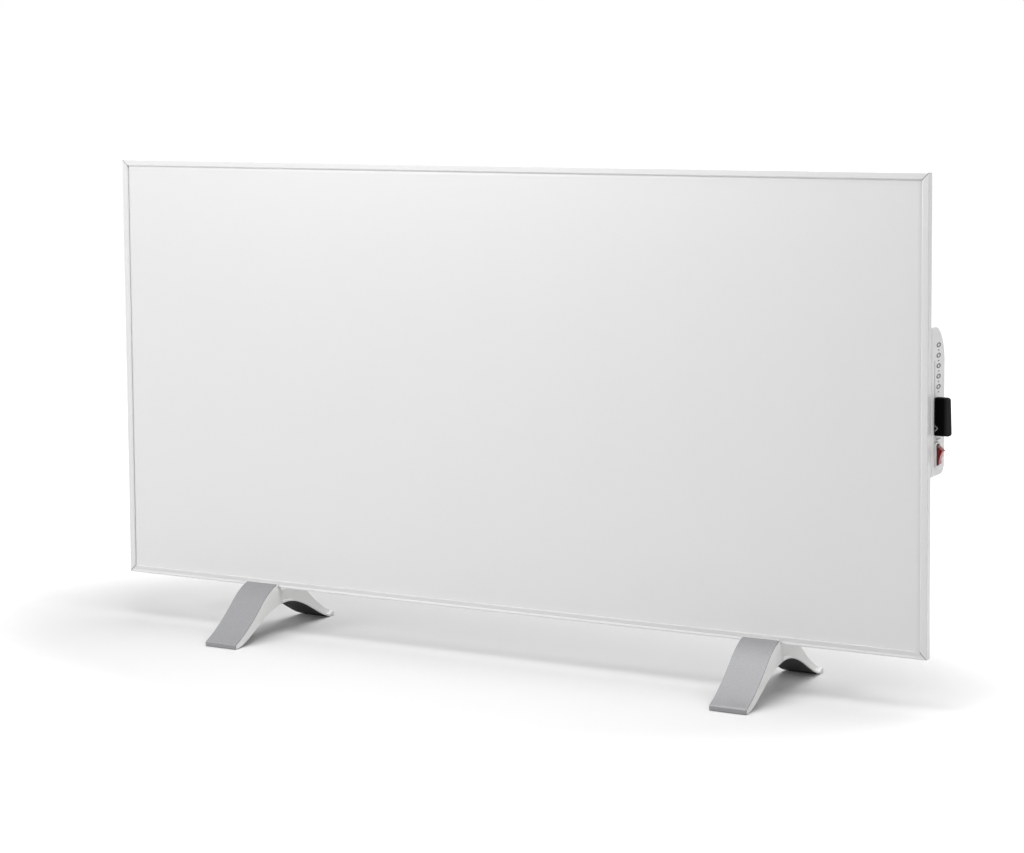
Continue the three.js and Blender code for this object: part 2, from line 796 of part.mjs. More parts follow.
// The satin front plate, which follows the top and turns down over the toe
function trimOutline() {
  const toe = [[foot_half, foot_toe_height - foot_toe_round], [foot_half, foot_pad_proud]];
  const outer = [...footTop(), ...toe];
  const inner_toe = foot_half - foot_trim_thickness;
  const inner = moved(footTop(), -foot_trim_thickness).filter(([along]) => along < inner_toe);
  inner[0] = [outer[0][0] - foot_trim_thickness, foot_top];
  inner.push([inner_toe, foot_toe_height - foot_toe_round - foot_trim_thickness]);
  inner.push([inner_toe, foot_pad_proud]);
  return [...outer, ...inner.reverse()].map(toFront);
}

// The solid front block under that plate
function frontBlockOutline() {
  const depth = foot_trim_thickness + seat_gap;
  const inner_toe = foot_half - depth;
  const top = moved(footTop(), -depth).filter(([along]) => along < inner_toe);
  top[0] = [foot_centre_back + foot_lip_proud - depth, foot_top];
  const block_back = foot_centre_back - foot_block_back;
  const arch = footArch().filter(([along]) => along > block_back - foot_block_lean);
  const seat = panel_bottom - seat_gap;
  return [
    [foot_centre_back + seat_gap, foot_top],
    ...top,
    [inner_toe, foot_toe_height - foot_toe_round - depth],
    [inner_toe, foot_pad_proud],
    ...arch,
    [block_back - foot_block_lean, foot_arch_height],
    [block_back, seat],
    [foot_centre_back + seat_gap, seat],
  ].map(toFront);
}

// The thin sheet that carries the arch on to the rear toe, at full width
function rearSheetOutline() {
  const under = footArch().reverse();
  const over = moved(under, foot_sheet).filter(([along]) => along < foot_half - foot_rear_toe);
  const start = foot_centre_back - foot_block_back;
  return [
    toFront([start, foot_arch_height]),
    ...under.map(toRear),
    toRear([foot_half, foot_pad_proud]),
    toRear([foot_half, foot_toe_height - foot_toe_round]),
    toRear([foot_half - foot_toe_round, foot_toe_height]),
    ...over.reverse().map(toRear),
    toFront([start, foot_arch_height + foot_sheet]),
  ];
}

// The inset web between the panel and that sheet
function webOutline() {
  const hump_top = panel_bottom - foot_hump_drop;
  const hump_along = foot_notch_back - foot_centre_back;
  const slope = footTop().filter(([along, up]) => along > hump_along && up < hump_top);
  const under = moved(footArch(), -foot_sheet / 2).filter(([along]) => along < foot_half - foot_rear_toe);
  const start = foot_centre_back - foot_block_back;
  return [
    toFront([start, notch_floor]),
    toRear([hump_along, notch_floor]),
    toRear([hump_along, hump_top]),
    ...slope.map(toRear),
    ...under.map(toRear),
    toFront([start, foot_arch_height + foot_sheet / 2]),
  ];
}

function tabOutline() {
  const top = panel_bottom + tab_height;
  const back = behind_frame + tab_thickness;
  const pad_z = panel_bottom + tab_pad_start;
  return [
    [behind_frame, notch_floor - foot_sheet],
    [back, notch_floor - foot_sheet],
    [back, top],
    [on_rear_sheet, top],
    [on_rear_sheet, pad_z],
    [behind_frame, pad_z],
  ];
}

// Pads under the toes: [name, middle of the pad along Y]
const pad_middle = foot_half - foot_pad_from_toe - foot_pad_length / 2;
const foot_pads = [['front', foot_centre_back - pad_middle], ['rear', foot_centre_back + pad_middle]];

function buildFoot(side, x) {
  const full = around(x, foot_width);
  const inset = around(x, foot_width - 2 * foot_web_inset);
  const parts = [
    prismX(frontBlockOutline(), full),
    prismX(rearSheetOutline(), full),
    prismX(webOutline(), inset),
    prismX(tabOutline(), around(x, tab_width)),
  ];
  const hole_radius = screw_shank_radius + screw_hole_clearance;
  const through_tab = [on_rear_sheet - cut_overrun, behind_frame + tab_thickness + cut_overrun];
  const cuts = [tab_screw_low, tab_screw_high].map(
    (rise) => roundY(hole_radius, through_tab, x, panel_bottom + rise, 12),
  );
  const pocket_top = foot_pad_thickness + seat_gap;
  for (const [, pad_y] of foot_pads) {
    cuts.push(box(
      around(x, foot_pad_width + 2 * seat_gap),
      around(pad_y, foot_pad_length + 2 * seat_gap),
      [-cut_overrun, pocket_top],
    ));
  }
  addPiece(`foot_${side}_body`, cut(join(parts), cuts), white_plastic());
  addPiece(`foot_${side}_trim`, prismX(trimOutline(), full), material(0xb4b4b6, 0.35, 0.4));
  for (const [end, pad_y] of foot_pads) {
    const pad = box(around(x, foot_pad_width), around(pad_y, foot_pad_length), [0, foot_pad_thickness]);
    addPiece(`foot_${side}_pad_${end}`, pad, black_rubber());
  }
  const lean_at_notch = foot_block_lean * foot_notch_depth / (panel_bottom - foot_arch_height);
  const saddle = box(
    inset,
    [foot_block_back + lean_at_notch + seat_gap, behind_frame - seat_gap],
    [notch_floor + seat_gap, panel_bottom - seat_gap],
  );
  addPiece(`foot_${side}_saddle`, saddle, black_rubber());
}

// A Z-shaped hanger with a keyhole, for hanging the panel on a wall without its feet
function buildBracket(side, x) {
  const base_z = bracket_step - bracket_base;
  const outline = [
    [on_rear_sheet, base_z],
    [on_rear_sheet + bracket_sheet, base_z],
    [on_rear_sheet + bracket_sheet, bracket_step - bracket_sheet],
    [bracket_standoff, bracket_step - bracket_sheet],
    [bracket_standoff, bracket_top],
    [bracket_standoff - bracket_sheet, bracket_top],
    [bracket_standoff - bracket_sheet, bracket_step],
    [on_rear_sheet, bracket_step],
  ];
  const through_base = [on_rear_sheet - cut_overrun, on_rear_sheet + bracket_sheet + cut_overrun];
  const through_flange = [bracket_standoff - bracket_sheet - cut_overrun, bracket_standoff + cut_overrun];
  const hole_radius = screw_shank_radius + screw_hole_clearance;
  const cuts = [-1, 1].map((end) => roundY(
    hole_radius, through_base, x + end * bracket_screw_spread / 2, bracket_screw_z, 12,
  ));
  const keyhole_z = bracket_step + keyhole_rise;
  cuts.push(roundY(keyhole_radius, through_flange, x, keyhole_z, 16));
  const keyhole_reach = [keyhole_z, keyhole_z + keyhole_slot_length];
  cuts.push(box(around(x, 2 * keyhole_slot_radius), through_flange, keyhole_reach));
  cuts.push(roundY(keyhole_slot_radius, through_flange, x, keyhole_z + keyhole_slot_length, 12));
  addPiece(`wall_bracket_${side}`, cut(prismX(outline, around(x, bracket_width)), cuts), steel());
}

buildFrame();
buildCornerKeys();
buildPanel();
buildHousing();
buildHousingBase();
buildThermostat();
buildSwitch();
buildMainsSide();
buildScrews();
buildFoot('left', foot_left_x);
buildFoot('right', foot_right_x);
buildBracket('left', -bracket_spread / 2);
buildBracket('right', bracket_spread / 2);

export default model;
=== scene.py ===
"""The looks of an infrared panel heater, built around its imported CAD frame.

Sizes are in millimetres and places are those of the CAD part: +X to the right, +Y to the back, +Z up. A mesh
is drawn in millimetres and turned into metres when it becomes a piece.
"""

import logging
import math
from collections.abc import Callable, Iterable, Sequence
from dataclasses import dataclass
from enum import Enum

import bmesh
import bpy
from mathutils import Matrix, Vector


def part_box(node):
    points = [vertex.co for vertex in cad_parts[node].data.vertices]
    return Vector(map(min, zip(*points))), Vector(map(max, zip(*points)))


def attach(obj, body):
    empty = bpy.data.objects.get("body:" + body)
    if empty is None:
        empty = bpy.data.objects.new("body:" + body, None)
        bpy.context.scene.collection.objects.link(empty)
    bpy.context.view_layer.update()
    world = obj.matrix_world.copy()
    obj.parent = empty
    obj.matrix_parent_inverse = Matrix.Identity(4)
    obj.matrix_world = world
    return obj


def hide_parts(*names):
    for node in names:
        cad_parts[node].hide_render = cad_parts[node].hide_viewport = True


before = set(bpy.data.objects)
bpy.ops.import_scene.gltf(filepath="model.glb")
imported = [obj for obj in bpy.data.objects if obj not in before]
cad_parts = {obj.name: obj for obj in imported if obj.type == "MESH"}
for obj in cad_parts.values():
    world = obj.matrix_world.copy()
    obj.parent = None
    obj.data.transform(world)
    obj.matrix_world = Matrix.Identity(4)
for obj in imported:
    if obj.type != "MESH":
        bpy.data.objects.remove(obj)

log = logging.getLogger("heater")

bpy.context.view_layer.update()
MM = 0.001
QUARTER = math.pi / 2
SCREW_NUMBERS = (1, 2, 3, 4)
WHITE = (1.0, 1.0, 1.0, 1.0)
HEATER = "heater"
THERMOSTAT = "thermostat"
ROCKER = "rocker"

Point = tuple[float, float]
Loop = list[Point]
Level = tuple[Loop, float]


# Outlines

def span(centre: float, size: float) -> Point:
    """The two ends of a size around its centre."""
    return (centre - size / 2, centre + size / 2)


def arc(centre: Point, radii: Point, start: float, end: float, steps: int) -> Loop:
    """Draws part of an ellipse.

    Args:
        centre: Middle of the ellipse.
        radii: Its two half axes.
        start: Angle of the first point, in radians.
        end: Angle of the last point, in radians.
        steps: Number of chords.

    Returns:
        The points from start to end.
    """
    turns = [start + (end - start) * step / steps for step in range(steps + 1)]
    return [(centre[0] + radii[0] * math.cos(t), centre[1] + radii[1] * math.sin(t)) for t in turns]


def circle(centre: Point, radius: float, sides: int) -> Loop:
    """A closed circle, counterclockwise."""
    return arc(centre, (radius, radius), 0.0, 2 * math.pi, sides)[:-1]


def rounded_rectangle(u: Point, v: Point, radius: float, steps: int = 5) -> Loop:
    """Draws a rectangle with round corners.

    Args:
        u: Its two ends along the first outline axis.
        v: Its two ends along the second outline axis.
        radius: Radius of the corners.
        steps: Chords in each corner.

    Returns:
        A closed counterclockwise outline.
    """
    corners = [(u[1], v[0], -QUARTER), (u[1], v[1], 0.0), (u[0], v[1], QUARTER), (u[0], v[0], math.pi)]
    loop: Loop = []
    for corner_u, corner_v, start in corners:
        centre_u = corner_u - math.copysign(radius, corner_u - sum(u) / 2)
        centre_v = corner_v - math.copysign(radius, corner_v - sum(v) / 2)
        loop += arc((centre_u, centre_v), (radius, radius), start, start + QUARTER, steps)
    return loop


def bezier(points: Sequence[Point], steps: int) -> Loop:
    """Draws a cubic Bezier curve.

    Args:
        points: Its four control points.
        steps: Number of chords.

    Returns:
        The points of the curve, both ends included.
    """
    curve: Loop = []
    for step in range(steps + 1):
        t = step / steps
        weights = ((1 - t) ** 3, 3 * t * (1 - t) ** 2, 3 * t * t * (1 - t), t ** 3)
        curve.append(tuple(sum(w * p[axis] for w, p in zip(weights, points)) for axis in (0, 1)))
    return curve


def moved(line: Loop, distance: float) -> Loop:
    """Moves an open line sideways.

    Args:
        line: Points of the line.
        distance: How far it moves to the left of its direction.

    Returns:
        The moved points.
    """
    result: Loop = []
    for i, (u, v) in enumerate(line):
        before = line[max(i - 1, 0)]
        after = line[min(i + 1, len(line) - 1)]
        along = Vector((after[0] - before[0], after[1] - before[1])).normalized()
        result.append((u - distance * along.y, v + distance * along.x))
    return result


def area(loop: Loop) -> float:
    """Signed area of a closed outline, positive where it runs counterclockwise."""
    pairs = zip(loop, loop[1:] + loop[:1])
    return sum(a[0] * b[1] - b[0] * a[1] for a, b in pairs) / 2


def inset(loop: Loop, distance: float) -> Loop:
    """Moves a closed outline inwards with mitred corners.

    Args:
        loop: Counterclockwise outline.
        distance: How far its sides move in, or out where it is negative.

    Returns:
        An outline with as many points.
    """
    least_fold = 0.3
    result: Loop = []
    for i, (u, v) in enumerate(loop):
        before, after = loop[i - 1], loop[(i + 1) % len(loop)]
        arriving = Vector((u - before[0], v - before[1])).normalized()
        leaving = Vector((after[0] - u, after[1] - v)).normalized()
        inward = Vector((-arriving.y - leaving.y, arriving.x + leaving.x))
        reach = distance / max(1 + arriving.dot(leaving), least_fold)
        result.append((u + inward.x * reach, v + inward.y * reach))
    return result


def sharp_corners(loop: Loop) -> set[int]:
    """Finds the corners of a closed outline that aren't part of a smooth curve."""
    sharp_turn = math.radians(24)
    found: set[int] = set()
    for i, (u, v) in enumerate(loop):
        before, after = loop[i - 1], loop[(i + 1) % len(loop)]
        arriving = Vector((u - before[0], v - before[1]))
        if arriving.angle(Vector((after[0] - u, after[1] - v))) > sharp_turn:
            found.add(i)
    return found


def softened(loop: Loop, radius: float, corners: set[int] | None = None, steps: int = 3) -> Loop:
    """Rounds the corners of a closed outline and leaves its smooth curves alone.

    Args:
        loop: Closed outline.
        radius: Radius of a corner where its sides are long enough.
        corners: Which points are corners. Without it the sharp ones are.
        steps: Chords in each corner.

    Returns:
        The rounded outline.
    """
    longest_share = 0.45
    chosen = sharp_corners(loop) if corners is None else corners
    result: Loop = []
    for i, (u, v) in enumerate(loop):
        if i not in chosen:
            result.append((u, v))
            continue
        before, after = loop[i - 1], loop[(i + 1) % len(loop)]
        back = Vector((before[0] - u, before[1] - v))
        ahead = Vector((after[0] - u, after[1] - v))
        reach = radius * math.tan((math.pi - back.angle(ahead)) / 2)
        trim = min(reach, longest_share * back.length, longest_share * ahead.length)
        start = Vector((u, v)) + back.normalized() * trim
        end = Vector((u, v)) + ahead.normalized() * trim
        for step in range(steps + 1):
            t = step / steps
            fair = start * (1 - t) ** 2 + Vector((u, v)) * (2 * t * (1 - t)) + end * t ** 2
            result.append((fair.x, fair.y))
    return result


def rounded_levels(loop: Loop, ends: Point, radii: Point, corner: float = 0.0, steps: int = 3) -> list[Level]:
    """Stacks an outline so that its first and last edges are rounded.

    Args:
        loop: Counterclockwise outline at full size, with sharp corners where it has corners.
        ends: Where the stack starts and ends.
        radii: Radius of the edge at the start and at the end.
        corner: Radius of the outline's sharp corners.
        steps: Chords in each edge.

    Returns:
        Outlines with their places along the stack.
    """
    least_corner = 0.06
    corners = sharp_corners(loop)
    levels: list[Level] = []
    for end, radius, inward in ((ends[0], radii[0], 1), (ends[1], radii[1], -1)):
        chords = steps if radius else 0
        edge: list[Level] = []
        for step in range(chords + 1):
            turn = QUARTER * step / chords if chords else QUARTER
            depth = radius * (1 - math.sin(turn))
            outline = inset(loop, depth)
            if corner:
                outline = softened(outline, max(corner - depth, least_corner), corners)
            edge.append((outline, end + inward * radius * (1 - math.cos(turn))))
        levels += edge if inward > 0 else edge[::-1]
    return levels


class Axis(Enum):
    """The direction that an outline is drawn out along. The outline lies on the other two, in order."""

    X = "x"
    Y = "y"
    Z = "z"

    def point(self, u: float, v: float, w: float) -> Vector:
        """Places outline coordinates u and v at the distance w along the axis."""
        if self is Axis.X:
            return Vector((w, u, v))
        if self is Axis.Y:
            return Vector((u, w, v))
        return Vector((u, v, w))


# Colours, nodes and finishes

def linear(colour: str) -> tuple[float, float, float, float]:
    """Turns an sRGB hex colour, such as "#f2f2f0", into the linear colour that Blender takes."""
    channels = [int(colour[i:i + 2], 16) / 255 for i in (1, 3, 5)]
    red, green, blue = (c / 12.92 if c <= 0.04045 else ((c + 0.055) / 1.055) ** 2.4 for c in channels)
    return (red, green, blue, 1.0)


def per_metre(size: float) -> float:
    """Scale of a procedural pattern whose features are so many millimetres apart."""
    return 1 / (size * MM)


def add_node(
    tree: bpy.types.NodeTree,
    kind: str,
    settings: dict[str | int, object] | None = None,
    links: dict[str | int, bpy.types.NodeSocket] | None = None,
) -> bpy.types.Node:
    """Adds a node with its settings and links.

    Args:
        tree: Node tree that takes the node.
        kind: Blender's name of the node type.
        settings: Values of its properties and sockets, by name or by socket number.
        links: Sockets that feed its own sockets, by name or by socket number.

    Returns:
        The new node.
    """
    node = tree.nodes.new(kind)
    for name, value in (settings or {}).items():
        if isinstance(name, int) or name in node.inputs:
            node.inputs[name].default_value = value
        else:
            setattr(node, name, value)
    for name, socket in (links or {}).items():
        tree.links.new(socket, node.inputs[name])
    return node


@dataclass(frozen=True)
class Finish:
    """What a surface is made of and how it was made.

    Attributes:
        name: Name of the material, after the real one and its making.
        colour: Its colour, as sRGB hex.
        shade: The colour that its uneven places lean to, as sRGB hex.
        gloss: Roughness of its smoothest and of its dullest places.
        grain: Distance between the bumps of its surface, in millimetres.
        relief: Height of those bumps, in millimetres.
        drift: Distance over which its colour and gloss wander, in millimetres.
        metallic: 1 for bare metal.
        ior: Index of refraction. A metal keeps Blender's own.
        clear: Share of light that passes through it.
        coat: Weight of a clear layer over it.
        coat_gloss: Roughness of that layer.
        shine: Strength of its plain reflection. Half is what its index of refraction gives.
    """

    name: str
    colour: str
    shade: str
    gloss: tuple[float, float]
    grain: float
    relief: float
    drift: float
    metallic: float = 0.0
    ior: float = 1.5
    clear: float = 0.0
    coat: float = 0.0
    coat_gloss: float = 0.08
    shine: float = 0.5

    def relief_map(self, tree: bpy.types.NodeTree, place: bpy.types.NodeSocket) -> bpy.types.NodeSocket:
        """Draws the height of the surface: here the orange peel or spark grain of a sprayed or moulded one.

        Args:
            tree: Node tree of the material.
            place: Socket with the place on the object, in metres.

        Returns:
            A socket with the height, from 0 to 1.
        """
        settings = {"Scale": per_metre(self.grain), "Detail": 2.0, "Roughness": 0.5}
        return add_node(tree, "ShaderNodeTexNoise", settings, {"Vector": place}).outputs["Fac"]

    def wander_map(self, tree: bpy.types.NodeTree, place: bpy.types.NodeSocket) -> bpy.types.NodeSocket:
        """Draws the slow wander of colour and gloss, as a socket from 0 to 1."""
        settings = {"Scale": per_metre(self.drift), "Detail": 4.0, "Roughness": 0.6}
        return add_node(tree, "ShaderNodeTexNoise", settings, {"Vector": place}).outputs["Fac"]

    def material(self) -> bpy.types.Material:
        """Makes the material, or finds it where it was made before.

        Returns:
            The material.
        """
        made = bpy.data.materials.get(self.name)
        if made:
            return made
        made = bpy.data.materials.new(self.name)
        made.use_nodes = True
        tree = made.node_tree
        tree.nodes.clear()
        place = add_node(tree, "ShaderNodeTexCoord").outputs["Object"]
        wander = self.wander_map(tree, place)
        # Sockets 6 and 7 of a mix node are its two colours.
        mix = {"data_type": "RGBA", 6: linear(self.colour), 7: linear(self.shade)}
        tone = add_node(tree, "ShaderNodeMix", mix, {0: wander})
        polish = {"To Min": self.gloss[0], "To Max": self.gloss[1]}
        roughness = add_node(tree, "ShaderNodeMapRange", polish, {"Value": wander})
        height = {"Height": self.relief_map(tree, place)}
        bump = add_node(tree, "ShaderNodeBump", {"Strength": 1.0, "Distance": self.relief * MM}, height)
        constants: dict[str | int, object] = {
            "Metallic": self.metallic,
            "Transmission Weight": self.clear,
            "Coat Weight": self.coat,
            "Coat Roughness": self.coat_gloss,
            "Specular IOR Level": self.shine,
        }
        if not self.metallic:
            constants["IOR"] = self.ior
        fed = {"Base Color": tone.outputs[2], "Roughness": roughness.outputs[0], "Normal": bump.outputs[0]}
        shader = add_node(tree, "ShaderNodeBsdfPrincipled", constants, fed)
        add_node(tree, "ShaderNodeOutputMaterial", links={"Surface": shader.outputs[0]})
        return made


@dataclass(frozen=True)
class DrawnMetal(Finish):
    """Rolled or drawn metal, whose fine lines run one way.

    Attributes:
        stretch: How much longer its lines are than they are wide.
    """

    stretch: float = 40.0

    def relief_map(self, tree: bpy.types.NodeTree, place: bpy.types.NodeSocket) -> bpy.types.NodeSocket:
        """Draws long fine lines along X, as a socket from 0 to 1."""
        squeezed = {"Scale": (1 / self.stretch, 1.0, 1.0)}
        lines = add_node(tree, "ShaderNodeMapping", squeezed, {"Vector": place})
        settings = {"Scale": per_metre(self.grain), "Detail": 3.0}
        return add_node(tree, "ShaderNodeTexNoise", settings, {"Vector": lines.outputs[0]}).outputs["Fac"]


@dataclass(frozen=True)
class CellGrain(Finish):
    """A surface of small cells, such as zinc spangle, flakes of lacquer or clumps of fibre."""

    def wander_map(self, tree: bpy.types.NodeTree, place: bpy.types.NodeSocket) -> bpy.types.NodeSocket:
        """Gives each cell a tone of its own, as a socket from 0 to 1."""
        cells = add_node(tree, "ShaderNodeTexVoronoi", {"Scale": per_metre(self.drift)}, {"Vector": place})
        return add_node(tree, "ShaderNodeSeparateColor", links={"Color": cells.outputs["Color"]}).outputs[0]


@dataclass(frozen=True)
class StripedPrint(Finish):
    """Straight printed conductors on a film or a board."""

    def wander_map(self, tree: bpy.types.NodeTree, place: bpy.types.NodeSocket) -> bpy.types.NodeSocket:
        """Draws stripes across X, as a socket from 0 to 1."""
        settings = {"wave_type": "BANDS", "bands_direction": "X", "Scale": per_metre(self.drift) / math.tau}
        return add_node(tree, "ShaderNodeTexWave", settings, {"Vector": place}).outputs["Fac"]


@dataclass(frozen=True)
class HandledEnd(Finish):
    """A surface with a painted highlight that lightens it towards its end along X, where its rounded end
    catches the light.

    Attributes:
        end: Where that end stands along X, in millimetres.
        worn: Distance from the end where the painted highlight starts, and where it is full.
    """

    end: float = 0.0
    worn: Point = (7.7, 3.2)

    def wander_map(self, tree: bpy.types.NodeTree, place: bpy.types.NodeSocket) -> bpy.types.NodeSocket:
        """Draws the way from the plain part to the painted highlight, as a socket from 0 to 1."""
        along = add_node(tree, "ShaderNodeSeparateXYZ", links={"Vector": place}).outputs["X"]
        starts, ends = (self.end - distance for distance in self.worn)
        reach = {"From Min": starts * MM, "From Max": ends * MM}
        return add_node(tree, "ShaderNodeMapRange", reach, {"Value": along}).outputs[0]


# Polyester powder on steel, sprayed and baked. The eye sees an even neutral white with a soft broad shine and
# a faint orange peel, about 2 mm from crest to crest.
POWDER_COAT = Finish("powder_coat_white_baked", "#f4f4f4", "#f1f1f1", (0.3, 0.34), 2.2, 0.004, 260.0)
# The same powder on the rolled frame bars, a little glossier because the bar under it is smoother.
POWDER_COAT_BAR = Finish("powder_coat_white_on_bar", "#f3f3f3", "#f0f0f0", (0.28, 0.34), 1.8, 0.003, 140.0)
# ABS from a mould with a fine spark grain. The real grain is 0.2 mm; it is drawn at 0.7 mm so that it shows.
ABS_WHITE = Finish("abs_white_moulded", "#f8f8f7", "#f4f4f2", (0.4, 0.5), 0.7, 0.006, 60.0, ior=1.53)
# Polished mould, so the bezel of the switch shines more than the box around it.
NYLON_WHITE = Finish("nylon_white_moulded", "#f4f4f4", "#efefef", (0.2, 0.28), 1.2, 0.002, 20.0, ior=1.53)
# Silver lacquer with fine metal flakes on ABS. The eye sees a satin grey that lightens where it turns. The
# real flakes are under 0.1 mm; they are drawn at 0.9 mm so that they show.
SILVER_LACQUER = CellGrain(
    "lacquer_silver_sprayed", "#9c9c9e", "#959598", (0.46, 0.54), 0.9, 0.003, 0.9, metallic=0.35,
)
# Black ABS with a dull mould grain, a little greyer where light grazes it.
ABS_BLACK = Finish(
    "abs_black_moulded", "#101011", "#161617", (0.42, 0.54), 0.8, 0.006, 24.0, ior=1.53, shine=0.06,
)
# The same ABS on the thumb piece: deep black, with a painted highlight that turns it charcoal at the outer
# end, where its rounded end catches the light. Its grain scatters most of the shine, so the shine was matched
# to the object.
THUMB_BLACK_PAINTED_HIGHLIGHT = HandledEnd(
    "abs_black_painted_end_highlight", "#040405", "#343435", (0.42, 0.54), 0.8, 0.006, 24.0,
    ior=1.53, shine=0.02, end=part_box("thermostat_slider")[1].x / MM,
)
# Clear red polycarbonate from a polished mould. Light sinks in and comes back deep red under a sharp shine.
POLYCARBONATE_RED = Finish(
    "polycarbonate_red_moulded", "#9c0a0f", "#84080c", (0.08, 0.14), 3.0, 0.002, 9.0,
    ior=1.58, clear=0.08, coat=0.05, shine=0.15,
)
# Zinc plate with clear passivation over rolled steel: bright blue-grey with fine rolling lines.
ZINC_PLATE = DrawnMetal("steel_zinc_plated_rolled", "#c9ccd0", "#b4b8bd", (0.26, 0.38), 0.5, 0.004, 8.0, 1.0)
# Zinc on a barrel-plated screw has no rolling lines, only small dull and bright spots.
ZINC_SCREW = CellGrain("steel_zinc_plated_barrel", "#cfd1d4", "#b9bcc0", (0.22, 0.34), 0.6, 0.003, 1.1, 1.0)
# Moulded EPDM: nearly black, dull, with a powdery bloom.
RUBBER = Finish("epdm_rubber_moulded", "#1b1b1c", "#2a2a2b", (0.7, 0.85), 0.6, 0.02, 12.0, ior=1.52)
# Silicone squeezed into the mitres and wiped off: a dull grey line.
# A dull dark grey strip along each mitre: painted shade for the shadow in the mitre's gap.
MITRE_SHADE_GREY = Finish("grey_painted_mitre_shade", "#5c5c5e", "#68686a", (0.5, 0.65), 1.4, 0.01, 6.0, ior=1.41)
# Pad-printed ink is a flat dull film; its edge is what shows.
INK = Finish("ink_grey_pad_printed", "#5d5f63", "#66686c", (0.5, 0.6), 0.4, 0.002, 3.0)
INK_LIGHT = Finish("ink_light_grey_pad_printed", "#c4c6c9", "#bbbdc0", (0.5, 0.6), 0.4, 0.002, 3.0)
# Stamped brass: warm yellow with rolling lines, a little dull from handling.
BRASS = DrawnMetal("brass_rolled_stamped", "#d9b45c", "#c49a45", (0.28, 0.42), 0.4, 0.003, 4.0, 1.0)
# Carbon ink on polyester film: charcoal tracks 12 mm apart on a darker ground.
HEATING_FILM = StripedPrint(
    "polyester_film_carbon_printed", "#232325", "#47474a", (0.4, 0.5), 1.5, 0.004, 12.0, ior=1.6,
)
# Pressed mineral wool: straw-coloured clumps of fibre with a rough face.
MINERAL_WOOL = CellGrain("mineral_wool_pressed", "#d9c98f", "#c2b076", (0.9, 1.0), 1.6, 0.5, 4.0)
# Glass-epoxy board under green solder mask, with the tracks showing as paler stripes 2.5 mm apart.
CIRCUIT_BOARD = StripedPrint(
    "glass_epoxy_solder_masked", "#14522c", "#1f7a43", (0.25, 0.35), 1.0, 0.01, 2.5, ior=1.55,
)
# Unfilled polyamide: creamy, waxy and slightly translucent to the eye.
POLYAMIDE = Finish("polyamide_ivory_moulded", "#e9e4d4", "#ded8c4", (0.45, 0.55), 0.8, 0.006, 10.0, ior=1.53)
# Extruded wire insulation, with faint lines of the die.
PVC_BROWN = DrawnMetal("pvc_brown_extruded", "#6b3d22", "#5c331c", (0.4, 0.5), 0.6, 0.004, 6.0)
PVC_BLUE = DrawnMetal("pvc_blue_extruded", "#2c55a8", "#264a94", (0.4, 0.5), 0.6, 0.004, 6.0)


class Slot(Enum):
    """Material slots."""

    PAINTED = "painted_white"
    WHITE = "white_plastic"
    SILVER = "satin_grey"
    BLACK = "black_plastic"
    RED = "red_plastic"
    ZINC = "zinc_steel"
    RUBBER = "black_rubber"


# Drawing closed meshes

